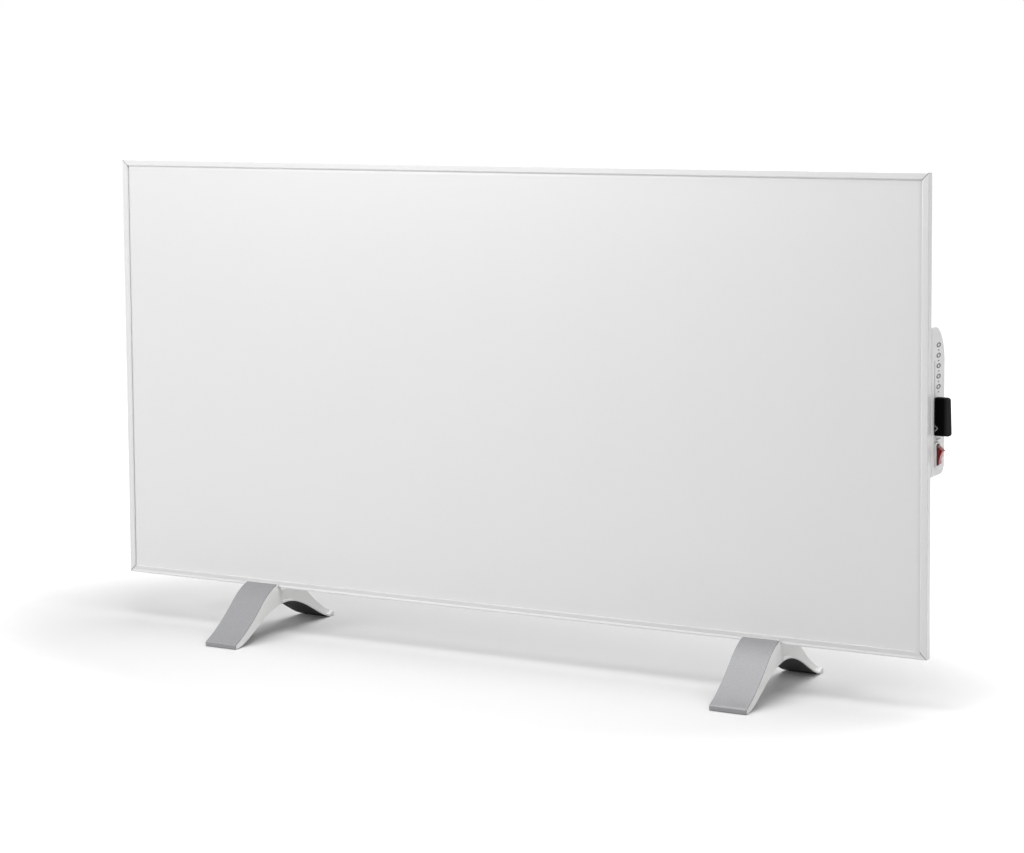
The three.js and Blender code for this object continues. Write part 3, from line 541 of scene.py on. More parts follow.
class Draft:
    """Closed surfaces in millimetres, before they become a piece."""

    def __init__(self) -> None:
        """Starts an empty drawing."""
        self.mesh = bmesh.new()

    def ring(self, axis: Axis, level: Level) -> list[bmesh.types.BMVert]:
        """Adds the points of one outline.

        Args:
            axis: The direction that the outline is drawn out along.
            level: The outline and its place along the axis.

        Returns:
            The new points, in order.
        """
        loop, place = level
        return [self.mesh.verts.new(axis.point(u, v, place)) for u, v in loop]

    def bridge(self, first: list[bmesh.types.BMVert], second: list[bmesh.types.BMVert]) -> None:
        """Joins two rings of equal numbers of points with a band of faces."""
        count = len(first)
        for i in range(count):
            after = (i + 1) % count
            self.mesh.faces.new((first[i], first[after], second[after], second[i]))

    def stack(self, axis: Axis, levels: Sequence[Level], endless: bool = False) -> None:
        """Draws a solid through outlines of equal numbers of points.

        Args:
            axis: The direction that the outlines are stacked along.
            levels: The outlines with their places.
            endless: True for a band that closes on itself, where a solid would have two end faces.
        """
        rings = [self.ring(axis, level) for level in levels]
        for lower, upper in zip(rings, rings[1:]):
            self.bridge(lower, upper)
        if endless:
            self.bridge(rings[-1], rings[0])
        else:
            self.mesh.faces.new(rings[0])
            self.mesh.faces.new(rings[-1])

    def prism(
        self, axis: Axis, loop: Loop, ends: Point, edge: float = 0.0, corner: float = 0.0, steps: int = 3,
    ) -> None:
        """Draws an outline out along an axis, with both end edges rounded.

        Args:
            axis: The direction to draw along.
            loop: Closed outline, in either direction.
            ends: Where the solid starts and ends.
            edge: Radius of the rounded end edges.
            corner: Radius of the outline's sharp corners.
            steps: Chords in each end edge.
        """
        outline = loop if area(loop) > 0 else loop[::-1]
        self.stack(axis, rounded_levels(outline, ends, (edge, edge), corner, steps))

    def lathe(self, axis: Axis, centre: Point, profile: Loop, sides: int) -> None:
        """Turns a profile around an axis.

        Args:
            axis: The direction of the axis.
            centre: Where the axis stands, in the outline's own two axes.
            profile: Points of radius and place along the axis. It closes on itself.
            sides: Number of sides.
        """
        self.stack(axis, [(circle(centre, radius, sides), place) for radius, place in profile], endless=True)

    def into_object(self, name: str) -> bpy.types.Object:
        """Ends the drawing, whose points are in metres by now, and puts its mesh in the scene."""
        bmesh.ops.recalc_face_normals(self.mesh, faces=self.mesh.faces)
        data = bpy.data.meshes.new(name)
        self.mesh.to_mesh(data)
        self.mesh.free()
        made = bpy.data.objects.new(name, data)
        bpy.context.scene.collection.objects.link(made)
        return made

    def piece(
        self,
        name: str,
        finish: Finish,
        slot: Slot,
        body: str = HEATER,
        place: Callable[[Vector], Vector] | None = None,
    ) -> bpy.types.Object:
        """slot: The slot that its finish belongs to; not used.
            body: The body that it moves with.
            place: Moves a point of the drawing to its place, in millimetres.

        Returns:
            The new object.
        """
        same_point = 1e-4
        bmesh.ops.remove_doubles(self.mesh, verts=self.mesh.verts, dist=same_point)
        bmesh.ops.dissolve_degenerate(self.mesh, edges=self.mesh.edges, dist=same_point)
        for vertex in self.mesh.verts:
            vertex.co = (place(vertex.co) if place else vertex.co) * MM
        made = self.into_object(name)
        made.data.materials.append(finish.material())
        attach(made, body)
        even_out(made)
        return made

    def tool(self, name: str) -> bpy.types.Object:
        """Turns the drawing into an object that only cuts or joins, and that carved() takes away."""
        for vertex in self.mesh.verts:
            vertex.co = vertex.co * MM
        return self.into_object(name)


def cutter(name: str, axis: Axis, outline: Loop, ends: Point) -> bpy.types.Object:
    """Draws a tool that cuts an outline straight out of a piece.

    Args:
        name: Name of the tool.
        axis: The direction of the cut.
        outline: What it cuts.
        ends: Where the cut starts and ends.

    Returns:
        The tool, for carved().
    """
    draft = Draft()
    draft.prism(axis, outline, ends)
    return draft.tool(name)


def even_out(piece: bpy.types.Object) -> None:
    """Shades a piece smoothly over its rounded edges and flat over its faces."""
    smooth_turn = math.radians(38)
    piece.data.shade_smooth()
    piece.data.set_sharp_from_angle(angle=smooth_turn)
    if "even_light" not in piece.modifiers:
        light = piece.modifiers.new("even_light", "WEIGHTED_NORMAL")
        light.keep_sharp = True


def carved(
    piece: bpy.types.Object,
    joins: Iterable[bpy.types.Object] = (),
    cuts: Iterable[bpy.types.Object] = (),
) -> bpy.types.Object:
    """Joins solids to a piece, cuts others out of it, and takes the tools away.

    Args:
        piece: The piece to change.
        joins: Solids that become part of it.
        cuts: Solids that are cut out of it.

    Returns:
        The same piece with its new mesh.
    """
    piece.modifiers.clear()
    steps = [("UNION", tool) for tool in joins] + [("DIFFERENCE", tool) for tool in cuts]
    for operation, tool in steps:
        change = piece.modifiers.new(operation.lower(), "BOOLEAN")
        change.operation = operation
        change.solver = "EXACT"
        change.object = tool
    seen = piece.evaluated_get(bpy.context.evaluated_depsgraph_get())
    mesh = bpy.data.meshes.new_from_object(seen)
    piece.modifiers.clear()
    old, name = piece.data, piece.data.name
    piece.data = mesh
    bpy.data.meshes.remove(old)
    mesh.name = name
    for _, tool in steps:
        data = tool.data
        bpy.data.objects.remove(tool)
        bpy.data.meshes.remove(data)
    even_out(piece)
    return piece


@dataclass(frozen=True)
class Reach:
    """The space that a CAD node takes, in millimetres.

    Attributes:
        low: Its lowest corner.
        high: Its highest corner.
    """

    low: Vector
    high: Vector

    @classmethod
    def of(cls, node: str) -> "Reach":
        """Reads the space of a node from the frame."""
        low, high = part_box(node)
        return cls(low / MM, high / MM)

    @property
    def middle(self) -> Vector:
        """The middle of that space."""
        return (self.low + self.high) / 2

    @property
    def x(self) -> Point:
        """Its ends along X."""
        return (self.low.x, self.high.x)

    @property
    def y(self) -> Point:
        """Its ends along Y."""
        return (self.low.y, self.high.y)

    @property
    def z(self) -> Point:
        """Its ends along Z."""
        return (self.low.z, self.high.z)


# Sub-assemblies

@dataclass
class PanelFrame:
    """Four mitred bars of one rolled section, powder coated.

    Attributes:
        lip_flat: Width of the lip's flat front.
        lip: Width of the lip with its bevel.
        lip_thickness: Depth of the bevel.
        wall: Thickness of the outer wall.
        flange: Height of the rear flange.
        flange_thickness: Its thickness.
        mitre_open: How much further an end stands back from its mitre than the solid does.
        seam: Width of the sealant in a mitre, and where it starts and ends along each bar.
        corner_round: Radius along the outer edges.
        end_break: Rounding of the mitred ends.
        sill: Front of the bottom bar, hollow above a drip edge: depth, and distance from the outer edge.
    """

    lip_flat: float = 7.6
    lip: float = 9.5
    lip_thickness: float = 1.6
    wall: float = 1.6
    flange: float = 6.0
    flange_thickness: float = 1.4
    mitre_open: float = 0.25
    # seam: Width of the strip of painted shade in a mitre, and where it starts and ends along each bar.
    seam: tuple[float, float, float] = (0.6, 0.9, 8.9)
    corner_round: float = 1.1
    end_break: float = 0.3
    sill: tuple[Point, ...] = ((0.0, 9.5), (0.0, 8.6), (0.5, 3.7), (0.0, 2.3))

    def section(self, depth: float, front: Sequence[Point]) -> Loop:
        """Draws the section: depth behind the front, and distance from the outer edge inwards.

        Args:
            depth: Depth of the bar from front to back.
            front: Front of the lip, from its inner edge outwards.

        Returns:
            A closed counterclockwise outline.
        """
        flange_front = depth - self.flange_thickness
        outer = self.corner_round
        return [
            (0.0, outer), *arc((outer, outer), (outer, outer), math.pi, 1.5 * math.pi, 5)[1:-1], (outer, 0.0),
            (depth - outer, 0.0), *arc((depth - outer, outer), (outer, outer), -QUARTER, 0.0, 5)[1:-1],
            (depth, outer), (depth, self.flange), (flange_front, self.flange), (flange_front, self.wall),
            (self.lip_thickness, self.wall), (self.lip_thickness, self.lip), *front,
        ]

    def bar(self, node: str, along: Vector, inward: Vector) -> bpy.types.Object:
        """Draws one bar in the place of its node.

        Args:
            node: The bar's node.
            along: Direction of the bar.
            inward: Direction from its outer edge to the middle of the panel.

        Returns:
            The bar.
        """
        reach = Reach.of(node)
        size = reach.high - reach.low
        half = abs(size.dot(along)) / 2 - self.mitre_open
        outer = reach.middle - inward * (abs(size.dot(inward)) / 2)
        outer.y = reach.low.y
        section = self.section(size.y, self.sill if node == "frame_bottom" else [(0.0, self.lip_flat)])
        corners = sharp_corners(section)
        full = softened(section, self.end_break, corners)
        worn = softened(inset(section, self.end_break), self.end_break / 4, corners)
        draft = Draft()
        rings = []
        for side, outline, back in ((-1, worn, 0.0), (-1, full, 1.0), (1, full, 1.0), (1, worn, 0.0)):
            ring = []
            for depth, rise in outline:
                end = half - rise - back * self.end_break
                point = outer + along * side * end + inward * rise + Vector((0, depth, 0))
                ring.append(draft.mesh.verts.new(point))
            rings.append(ring)
        for first, second in zip(rings, rings[1:]):
            draft.bridge(first, second)
        draft.mesh.faces.new(rings[0])
        draft.mesh.faces.new(rings[-1])
        made = draft.piece(f"{node}_bar", POWDER_COAT_BAR, Slot.PAINTED)
        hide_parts(node)
        return made

    def mitre_seam(self, side: str, end: str) -> bpy.types.Object:
        """Draws the strip of painted shade in the mitre between the bar at one side and the bar at one end.

        Args:
            side: "left" or "right".
            end: "bottom" or "top".

        Returns:
            The strip of painted shade.
        """
        upright, level = Reach.of(f"frame_{side}"), Reach.of(f"frame_{end}")
        x, inward_x = (upright.low.x, 1) if side == "left" else (upright.high.x, -1)
        z, inward_z = (level.low.z, 1) if end == "bottom" else (level.high.z, -1)
        width, start, stop = self.seam
        across = width / 2 / math.sqrt(2)
        loop = [
            (x + inward_x * (along + turn * across), z + inward_z * (along - turn * across))
            for along, turn in ((start, -1), (start, 1), (stop, 1), (stop, -1))
        ]
        front = upright.low.y + self.end_break
        draft = Draft()
        draft.prism(Axis.Y, loop, (front, upright.low.y + self.lip_thickness))
        return draft.piece(f"mitre_seam_{end}_{side}", MITRE_SHADE_GREY, Slot.RUBBER)

    def build(self) -> list[bpy.types.Object]:
        """Draws the four bars and the strips of painted shade in their mitres, and returns them."""
        right, up = Vector((1, 0, 0)), Vector((0, 0, 1))
        return [
            self.bar("frame_bottom", right, up),
            self.bar("frame_top", right, -up),
            self.bar("frame_left", up, right),
            self.bar("frame_right", up, -right),
            *(self.mitre_seam(side, end) for side in ("left", "right") for end in ("bottom", "top")),
        ]


@dataclass
class RadiatingPanel:
    """The front sheet with its soft rim, and the rear cover with its pressed field.

    Attributes:
        rim: The rim's profile: distance from the sheet's edge, and how far the front stands back there.
        rim_low: Share of that distance along the bottom, where the lip hides the rim.
        field_rise: How far the pressed field of the rear cover stands out.
        field_slope: Width of its sloping edge.
        field_margin: Its distance from the sides of the cover.
        field_low: Its distance from the bottom of the cover, above the feet's tabs.
        field_right: Its distance from the right side of the cover, beside the control box.
        field_top: Its distance from the top of the cover, under the hangers.
        field_round: Radius of its corners.
        corner_round: Radius of the corners of both sheets.
    """

    rim: tuple[Point, ...] = ((0.0, 0.62), (7.3, 0.62), (9.0, 0.28), (10.5, 0.08), (12.1, 0.0), (30.0, 0.0))
    rim_low: float = 0.5
    field_rise: float = 1.1
    field_slope: float = 5.0
    field_margin: float = 34.0
    field_low: float = 58.0
    field_right: float = 96.0
    field_top: float = 78.0
    field_round: float = 14.0
    corner_round: float = 2.0

    def front_sheet(self) -> bpy.types.Object:
        """Draws the front sheet, whose front falls back a little towards its edges."""
        reach = Reach.of("front_panel")
        (left, right), (front, back), (low, high) = reach.x, reach.y, reach.z
        levels = [(rounded_rectangle(reach.x, reach.z, self.corner_round), back)]
        for margin, fall in self.rim:
            sides = ((left + margin, right - margin), (low + margin * self.rim_low, high - margin))
            levels.append((rounded_rectangle(*sides, self.corner_round), front + fall))
        draft = Draft()
        draft.stack(Axis.Y, levels)
        made = draft.piece("radiating_sheet", POWDER_COAT, Slot.PAINTED)
        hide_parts("front_panel")
        return made

    def rear_cover(self) -> bpy.types.Object:
        """Draws the rear cover with a raised field pressed into it."""
        reach = Reach.of("rear_cover")
        edge = rounded_rectangle(reach.x, reach.z, self.corner_round)
        field_x = (reach.low.x + self.field_margin, reach.high.x - self.field_right)
        field_z = (reach.low.z + self.field_low, reach.high.z - self.field_top)
        foot = rounded_rectangle(field_x, field_z, self.field_round)
        crest = inset(foot, self.field_slope)
        front, back = reach.y
        draft = Draft()
        draft.stack(Axis.Y, [
            (inset(crest, self.field_slope), front + self.field_rise),
            (crest, front + self.field_rise),
            (foot, front),
            (edge, front),
            (edge, back),
            (foot, back),
            (crest, back + self.field_rise),
            (inset(crest, self.field_slope), back + self.field_rise),
        ])
        made = draft.piece("rear_sheet", POWDER_COAT, Slot.PAINTED)
        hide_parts("rear_cover")
        return made

    def build(self) -> list[bpy.types.Object]:
        """Draws both sheets and returns them."""
        return [self.front_sheet(), self.rear_cover()]


@dataclass
class Fastener:
    """A pan-head screw with a cross recess.

    Attributes:
        shank: Radius of the shank.
        head: Radius of the head.
        head_height: Height of the head.
        recess: Reach of the cross recess from the middle.
        dome: Share of the head's height that its crown rises over.
        recess_depth: Depth of the recess, as a share of the head's height.
        recess_taper: Width of the recess at its floor, as a share of its width at the crown.
        sides: Number of sides of its round parts.
    """

    shank: float
    head: float
    head_height: float
    recess: float
    dome: float = 0.8
    recess_depth: float = 0.55
    recess_taper: float = 0.8
    sides: int = 16

    def cross(self, reach: float, half: float) -> Loop:
        """Draws the cross of the recess with four points for each quarter turn."""
        quarter = [(reach, 0.0), (reach, half), (half, half), (half, reach)]
        loop: Loop = []
        for turn in range(4):
            spin = Matrix.Rotation(turn * QUARTER, 2)
            loop += [tuple(spin @ Vector(point)) for point in quarter]
        return loop

    def drawing(self, length: float) -> Draft:
        """Draws the screw with its axis along Y, its head's crown at 0 and its tip at -length."""
        half = self.recess / 4
        crown = self.head_height
        rounds: Loop = [
            (self.shank / 2, -length),
            (self.shank, -length + self.shank / 2),
            (self.shank, -crown),
            (self.head, -crown),
        ]
        for turn in (0.0, 0.35, 0.75, 1.05):
            rounds.append((self.head * math.cos(turn), -crown * (1 - math.sin(turn)) * self.dome))
        levels = [(circle((0, 0), radius, self.sides), place) for radius, place in rounds]
        levels += [
            (self.cross(self.recess, half), 0.0),
            (self.cross(self.recess - half / 2, half * self.recess_taper), -crown * self.recess_depth),
        ]
        draft = Draft()
        draft.stack(Axis.Y, levels)
        return draft

    def build(self, nodes: Sequence[str], finish: Finish) -> list[bpy.types.Object]:
        """Puts a screw in the place of each node.

        Args:
            nodes: Nodes of this kind of screw.
            finish: Their surface.

        Returns:
            The screws.
        """
        made: list[bpy.types.Object] = []
        for node in nodes:
            reach = Reach.of(node)
            crown = Vector((reach.middle.x, reach.high.y, reach.middle.z))
            draft = self.drawing(reach.high.y - reach.low.y)
            screw = draft.piece(f"{node}_cross_head", finish, Slot.ZINC, place=lambda p, c=crown: p + c)
            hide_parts(node)
            made.append(screw)
        return made


@dataclass
class ControlBox:
    """The white box at the right edge: its shell, the cable inlet's grommet and the screws in its back.

    Attributes:
        wall: Wall thickness.
        edge: Radius along the edges of the two side faces.
        corner: Radius of the sharp corners beside the panel.
        top_run: Depth of the round rear top corner.
        top_drop: Its height.
        bottom_round: Radius of the rear bottom corner.
        slot: Width and height of the slot that the slider's lever runs in.
        slot_round: Radius of the slot's corners.
        slot_chamfer: Width of the slot's chamfer.
        slot_below: How far the slot starts below the lever at rest.
        window: Depth and height of the window for the switch.
        window_round: Radius of the window's corners.
        inlet: Radius of the cable inlet.
        inlet_round: Rounding of the inlet grommet.
        grommet: Radius of the grommet's bore and of its neck, and thickness of its two lips.
        screw_hole: Radius of the screw holes.
    """

    wall: float = 2.2
    edge: float = 1.6
    corner: float = 0.5
    top_run: float = 34.0
    top_drop: float = 45.0
    bottom_round: float = 13.0
    slot: Point = (2.0, 71.5)
    slot_round: float = 0.4
    slot_chamfer: float = 0.5
    slot_below: float = 1.0
    window: Point = (13.6, 28.8)
    window_round: float = 0.6
    inlet: float = 7.6
    inlet_round: float = 0.7
    grommet: tuple[float, float, float] = (4.0, 7.3, 2.3)
    screw_hole: float = 1.65

    def outline(self, reach: Reach, offset: float) -> Loop:
        """Draws the box from the side, in (y, z), with its walls moved in by an offset."""
        # The hollow runs out through the open front.
        front = reach.low.y - (self.wall if offset else 0.0)
        back, bottom, top = reach.high.y - offset, reach.low.z + offset, reach.high.z - offset
        low = self.bottom_round - offset
        run, drop = self.top_run - offset, self.top_drop - offset
        return [
            (front, bottom),
            *arc((back - low, bottom + low), (low, low), -QUARTER, 0.0, 12),
            *arc((back - run, top - drop), (run, drop), 0.0, QUARTER, 28),
            (front, top),
        ]

    def slot_tool(self, face: float) -> bpy.types.Object:
        """Draws what cuts the slot and its chamfer out of the side face."""
        lever = Reach.of("slider_lever")
        slot_z = span(lever.low.z - self.slot_below + self.slot[1] / 2, self.slot[1])
        opening = rounded_rectangle(span(lever.middle.y, self.slot[0]), slot_z, self.slot_round)
        slot = Draft()
        slot.stack(Axis.X, [
            (opening, face - 2 * self.wall),
            (opening, face - self.slot_chamfer),
            (inset(opening, -2 * self.slot_chamfer), face + self.slot_chamfer),
        ])
        return slot.tool("slot")

    def shell(self) -> bpy.types.Object:
        """Draws the hollow shell with its slot, switch window, cable inlet and screw holes."""
        reach = Reach.of("control_housing")
        draft = Draft()
        draft.prism(Axis.X, self.outline(reach, 0.0), reach.x, self.edge, self.corner, 4)
        made = draft.piece("control_box_shell", ABS_WHITE, Slot.WHITE)
        inside = (reach.low.x + self.wall, reach.high.x - self.wall)
        switch = Reach.of("switch_body").middle
        window = (span(switch.y, self.window[0]), span(switch.z, self.window[1]))
        grommet = Reach.of("cable_grommet").middle
        through_side = (reach.high.x - 2 * self.wall, reach.high.x + self.wall)
        through_floor = (reach.low.z - self.wall, reach.low.z + 2 * self.wall)
        through_back = (reach.high.y - 2 * self.wall, reach.high.y + self.wall)
        cuts = [
            cutter("hollow", Axis.X, self.outline(reach, self.wall), inside),
            self.slot_tool(reach.high.x),
            cutter("window", Axis.X, rounded_rectangle(*window, self.window_round), through_side),
            cutter("inlet", Axis.Z, circle((grommet.x, grommet.y), self.inlet, 32), through_floor),
        ]
        for number in SCREW_NUMBERS:
            screw = Reach.of(f"housing_screw_{number}").middle
            hole = circle((screw.x, screw.z), self.screw_hole, 16)
            cuts.append(cutter(f"bore_{number}", Axis.Y, hole, through_back))
        carved(made, cuts=cuts)
        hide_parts("control_housing")
        return made

    def inlet_grommet(self) -> bpy.types.Object:
        """Turns the rubber grommet of the cable inlet."""
        reach = Reach.of("cable_grommet")
        low, high = reach.z
        rim = reach.high.x - reach.middle.x
        bore, neck, lip = self.grommet
        profile = softened([
            (bore, low), (rim, low), (rim, low + lip), (neck, low + lip),
            (neck, high - lip), (rim, high - lip), (rim, high), (bore, high),
        ], self.inlet_round, steps=4)
        draft = Draft()
        draft.lathe(Axis.Z, (reach.middle.x, reach.middle.y), profile, 40)
        made = draft.piece("inlet_grommet", RUBBER, Slot.RUBBER)
        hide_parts("cable_grommet")
        return made

    def build(self) -> list[bpy.types.Object]:
        """Draws the box, its grommet and its screws, and returns them."""
        screws = Fastener(shank=1.35, head=3.0, head_height=2.0, recess=1.5)
        names = [f"housing_screw_{number}" for number in SCREW_NUMBERS]
        return [self.shell(), self.inlet_grommet(), *screws.build(names, ZINC_SCREW)]


@dataclass
class Scale:
    """The thermostat's printed scale on the side of the control box.

    Attributes:
        pitch: Distance from one mark to the next.
        steps: Number of numbered marks.
        first_rise: Height of the first mark above the bottom of the box.
        centre_back: Distance of the marks' middle from the front of the box.
        mark: Size of an oval mark, from front to back and in height.
        line: Width of its line at its two ends and at its top and bottom.
        ink: Thickness of the ink.
        dot: Half the size of the dots between the marks, from front to back and in height.
        figure: Height of the numbers.
        type_body: Height of the font's body, as a share of its figures' height.
        wave_line: Width of the wave's line.
    """

    pitch: float = 12.7
    steps: int = 5
    first_rise: float = 108.6
    centre_back: float = 23.0
    mark: Point = (15.2, 5.9)
    line: Point = (4.2, 1.3)
    ink: float = 0.05
    dot: Point = (2.6, 0.8)
    figure: float = 2.6
    type_body: float = 1.4
    wave_line: float = 1.1

    def build(self) -> list[bpy.types.Object]:
        """Prints the marks, the dots between them and their numbers, and draws the dark wave at the low end.
        """
        box = Reach.of("control_housing")
        face = box.high.x
        ends = (face - self.ink, face + self.ink)
        y = box.low.y + self.centre_back
        first = box.low.z + self.first_rise
        sides, dot_sides = 28, 12
        half = (self.mark[0] / 2, self.mark[1] / 2)
        hole = (half[0] - self.line[0], half[1] - self.line[1])
        made: list[bpy.types.Object] = []
        rings, dots = Draft(), Draft()
        for step in range(self.steps):
            z = first + step * self.pitch
            outer = arc((y, z), half, 0.0, math.tau, sides)[:-1]
            inner = arc((y, z), hole, 0.0, math.tau, sides)[:-1]
            band = [(outer, ends[0]), (outer, ends[1]), (inner, ends[1]), (inner, ends[0])]
            rings.stack(Axis.X, band, endless=True)
            spot = arc((y, z - self.pitch / 2), self.dot, 0.0, math.tau, dot_sides)[:-1]
            dots.stack(Axis.X, [(spot, end) for end in ends])
            made.append(self.number(step + 1, y, z, face))
        made.append(rings.piece("scale_mark_rings", INK, Slot.WHITE))
        made.append(dots.piece("scale_dots", INK, Slot.WHITE))
        made.append(self.wave(y, first, ends).piece("dark_wave_mark", INK, Slot.WHITE))
        return made

    def wave(self, y: float, first: float, ends: Point) -> Draft:
        """Draws a dark wavy mark, as many steps under the first mark as there are marks.

        Args:
            y: Middle of the scale.
            first: Height of the first mark.
            ends: Back and front of the ink.

        Returns:
            The drawing.
        """
        z = first - self.steps * self.pitch
        half, crests, chords = self.mark[0] / 2, 3, 24
        line: Loop = []
        for chord in range(chords + 1):
            share = chord / chords
            rise = math.sin(share * crests * math.tau) * self.wave_line
            line.append((y - half + share * 2 * half, z + rise))
        band = moved(line, self.wave_line / 2)[::-1] + moved(line, -self.wave_line / 2)
        draft = Draft()
        draft.prism(Axis.X, band, ends)
        return draft

    def number(self, value: int, y: float, z: float, face: float) -> bpy.types.Object:
        """Prints one number in the middle of its mark.

        Args:
            value: The number.
            y: Middle of the mark from front to back.
            z: Middle of the mark in height.
            face: Where the side of the box stands.

        Returns:
            The printed number.
        """
        curve = bpy.data.curves.new(f"figure_{value}", "FONT")
        curve.body = str(value)
        curve.size = self.figure * self.type_body * MM
        curve.align_x = "CENTER"
        curve.align_y = "CENTER"
        curve.extrude = self.ink * MM
        text = bpy.data.objects.new(f"figure_{value}", curve)
        bpy.context.scene.collection.objects.link(text)
        bpy.context.view_layer.update()
        data = bpy.data.meshes.new_from_object(text.evaluated_get(bpy.context.evaluated_depsgraph_get()))
        bpy.data.objects.remove(text)
        same_point = 0.002 * MM
        welded = bmesh.new()
        welded.from_mesh(data)
        bmesh.ops.remove_doubles(welded, verts=welded.verts, dist=same_point)
        welded.to_mesh(data)
        welded.free()
        upright = Matrix(((0, 0, 1, face * MM), (1, 0, 0, y * MM), (0, 1, 0, z * MM), (0, 0, 0, 1)))
        data.transform(upright)
        data.materials.clear()
        data.materials.append(INK_LIGHT.material())
        made = bpy.data.objects.new(f"scale_number_{value}", data)
        bpy.context.scene.collection.objects.link(made)
        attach(made, HEATER)
        return made


@dataclass
class ThermostatThumb:
    """The black thumb piece of the sliding thermostat, with its printed pointer.

    Attributes:
        lean: How much further its bottom stands out than its top.
        outer_round: Radius of its outer corners.
        inner_round: Radius of the corners beside the box.
        edge: How far its front and rear edges are rounded away: beside the box, at the outer end, and above
            and below.
        pointer_rise: Height of the pointer above the bottom.
        pointer_from_box: Distance of the pointer's point from the end beside the box.
        pointer: Length and height of the pointer.
        pointer_line: Width of its line.
        ink: Thickness of its ink.
    """

    lean: float = 1.2
    outer_round: float = 3.6
    inner_round: float = 0.6
    edge: tuple[float, float, float] = (0.3, 6.2, 1.6)
    pointer_rise: float = 9.8
    pointer_from_box: float = 4.0
    pointer: Point = (3.7, 7.0)
    pointer_line: float = 0.9
    ink: float = 0.05

    def outline(self, reach: Reach, share: float) -> Loop:
        """Draws the thumb piece from the front, moved in by a share of its edges' rounding."""
        least_round = 1.2
        beside, outer, above = (size * share for size in self.edge)
        near, far = reach.low.x + beside, reach.high.x - outer
        low, high = reach.low.z + above, reach.high.z - above
        big = max(self.outer_round - above, least_round)
        turn = math.atan2(self.lean, high - low)
        corners = [
            (near, low),
            *arc((far - big, low + big), (big, big), -QUARTER, turn, 7),
            *arc((far - self.lean - big, high - big), (big, big), turn, QUARTER, 7),
            (near, high),
        ]
        return softened(corners, self.inner_round, {0, len(corners) - 1})

    def knob(self) -> bpy.types.Object:
        """Draws the thumb piece in the place of its node."""
        reach = Reach.of("thermostat_slider")
        steps = 6
        depth = self.edge[1]
        levels: list[Level] = []
        for end, inward in ((reach.low.y, 1), (reach.high.y, -1)):
            turns = [QUARTER * step / steps for step in range(steps + 1)]
            edge = [
                (self.outline(reach, 1 - math.sin(turn)), end + inward * depth * (1 - math.cos(turn)))
                for turn in turns
            ]
            levels += edge if inward > 0 else edge[::-1]
        draft = Draft()
        draft.stack(Axis.Y, levels)
        made = draft.piece("thermostat_thumb", THUMB_BLACK_PAINTED_HIGHLIGHT, Slot.BLACK, THERMOSTAT)
        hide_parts("thermostat_slider")
        return made

    def chevron(self) -> bpy.types.Object:
        """Prints the pointer on the front of the thumb piece."""
        reach = Reach.of("thermostat_slider")
        tip_x = reach.low.x + self.pointer_from_box
        z = reach.low.z + self.pointer_rise
        length, height = self.pointer
        line = [(tip_x - length, z + height / 2), (tip_x, z), (tip_x - length, z - height / 2)]
        band = moved(line, self.pointer_line / 2) + moved(line, -self.pointer_line / 2)[::-1]
        draft = Draft()
        draft.prism(Axis.Y, band, (reach.low.y - self.ink, reach.low.y + self.ink))
        return draft.piece("thumb_pointer", INK_LIGHT, Slot.BLACK, THERMOSTAT)

    def build(self) -> list[bpy.types.Object]:
        """Draws the thumb piece and its pointer, and returns them."""
        return [self.knob(), self.chevron()]


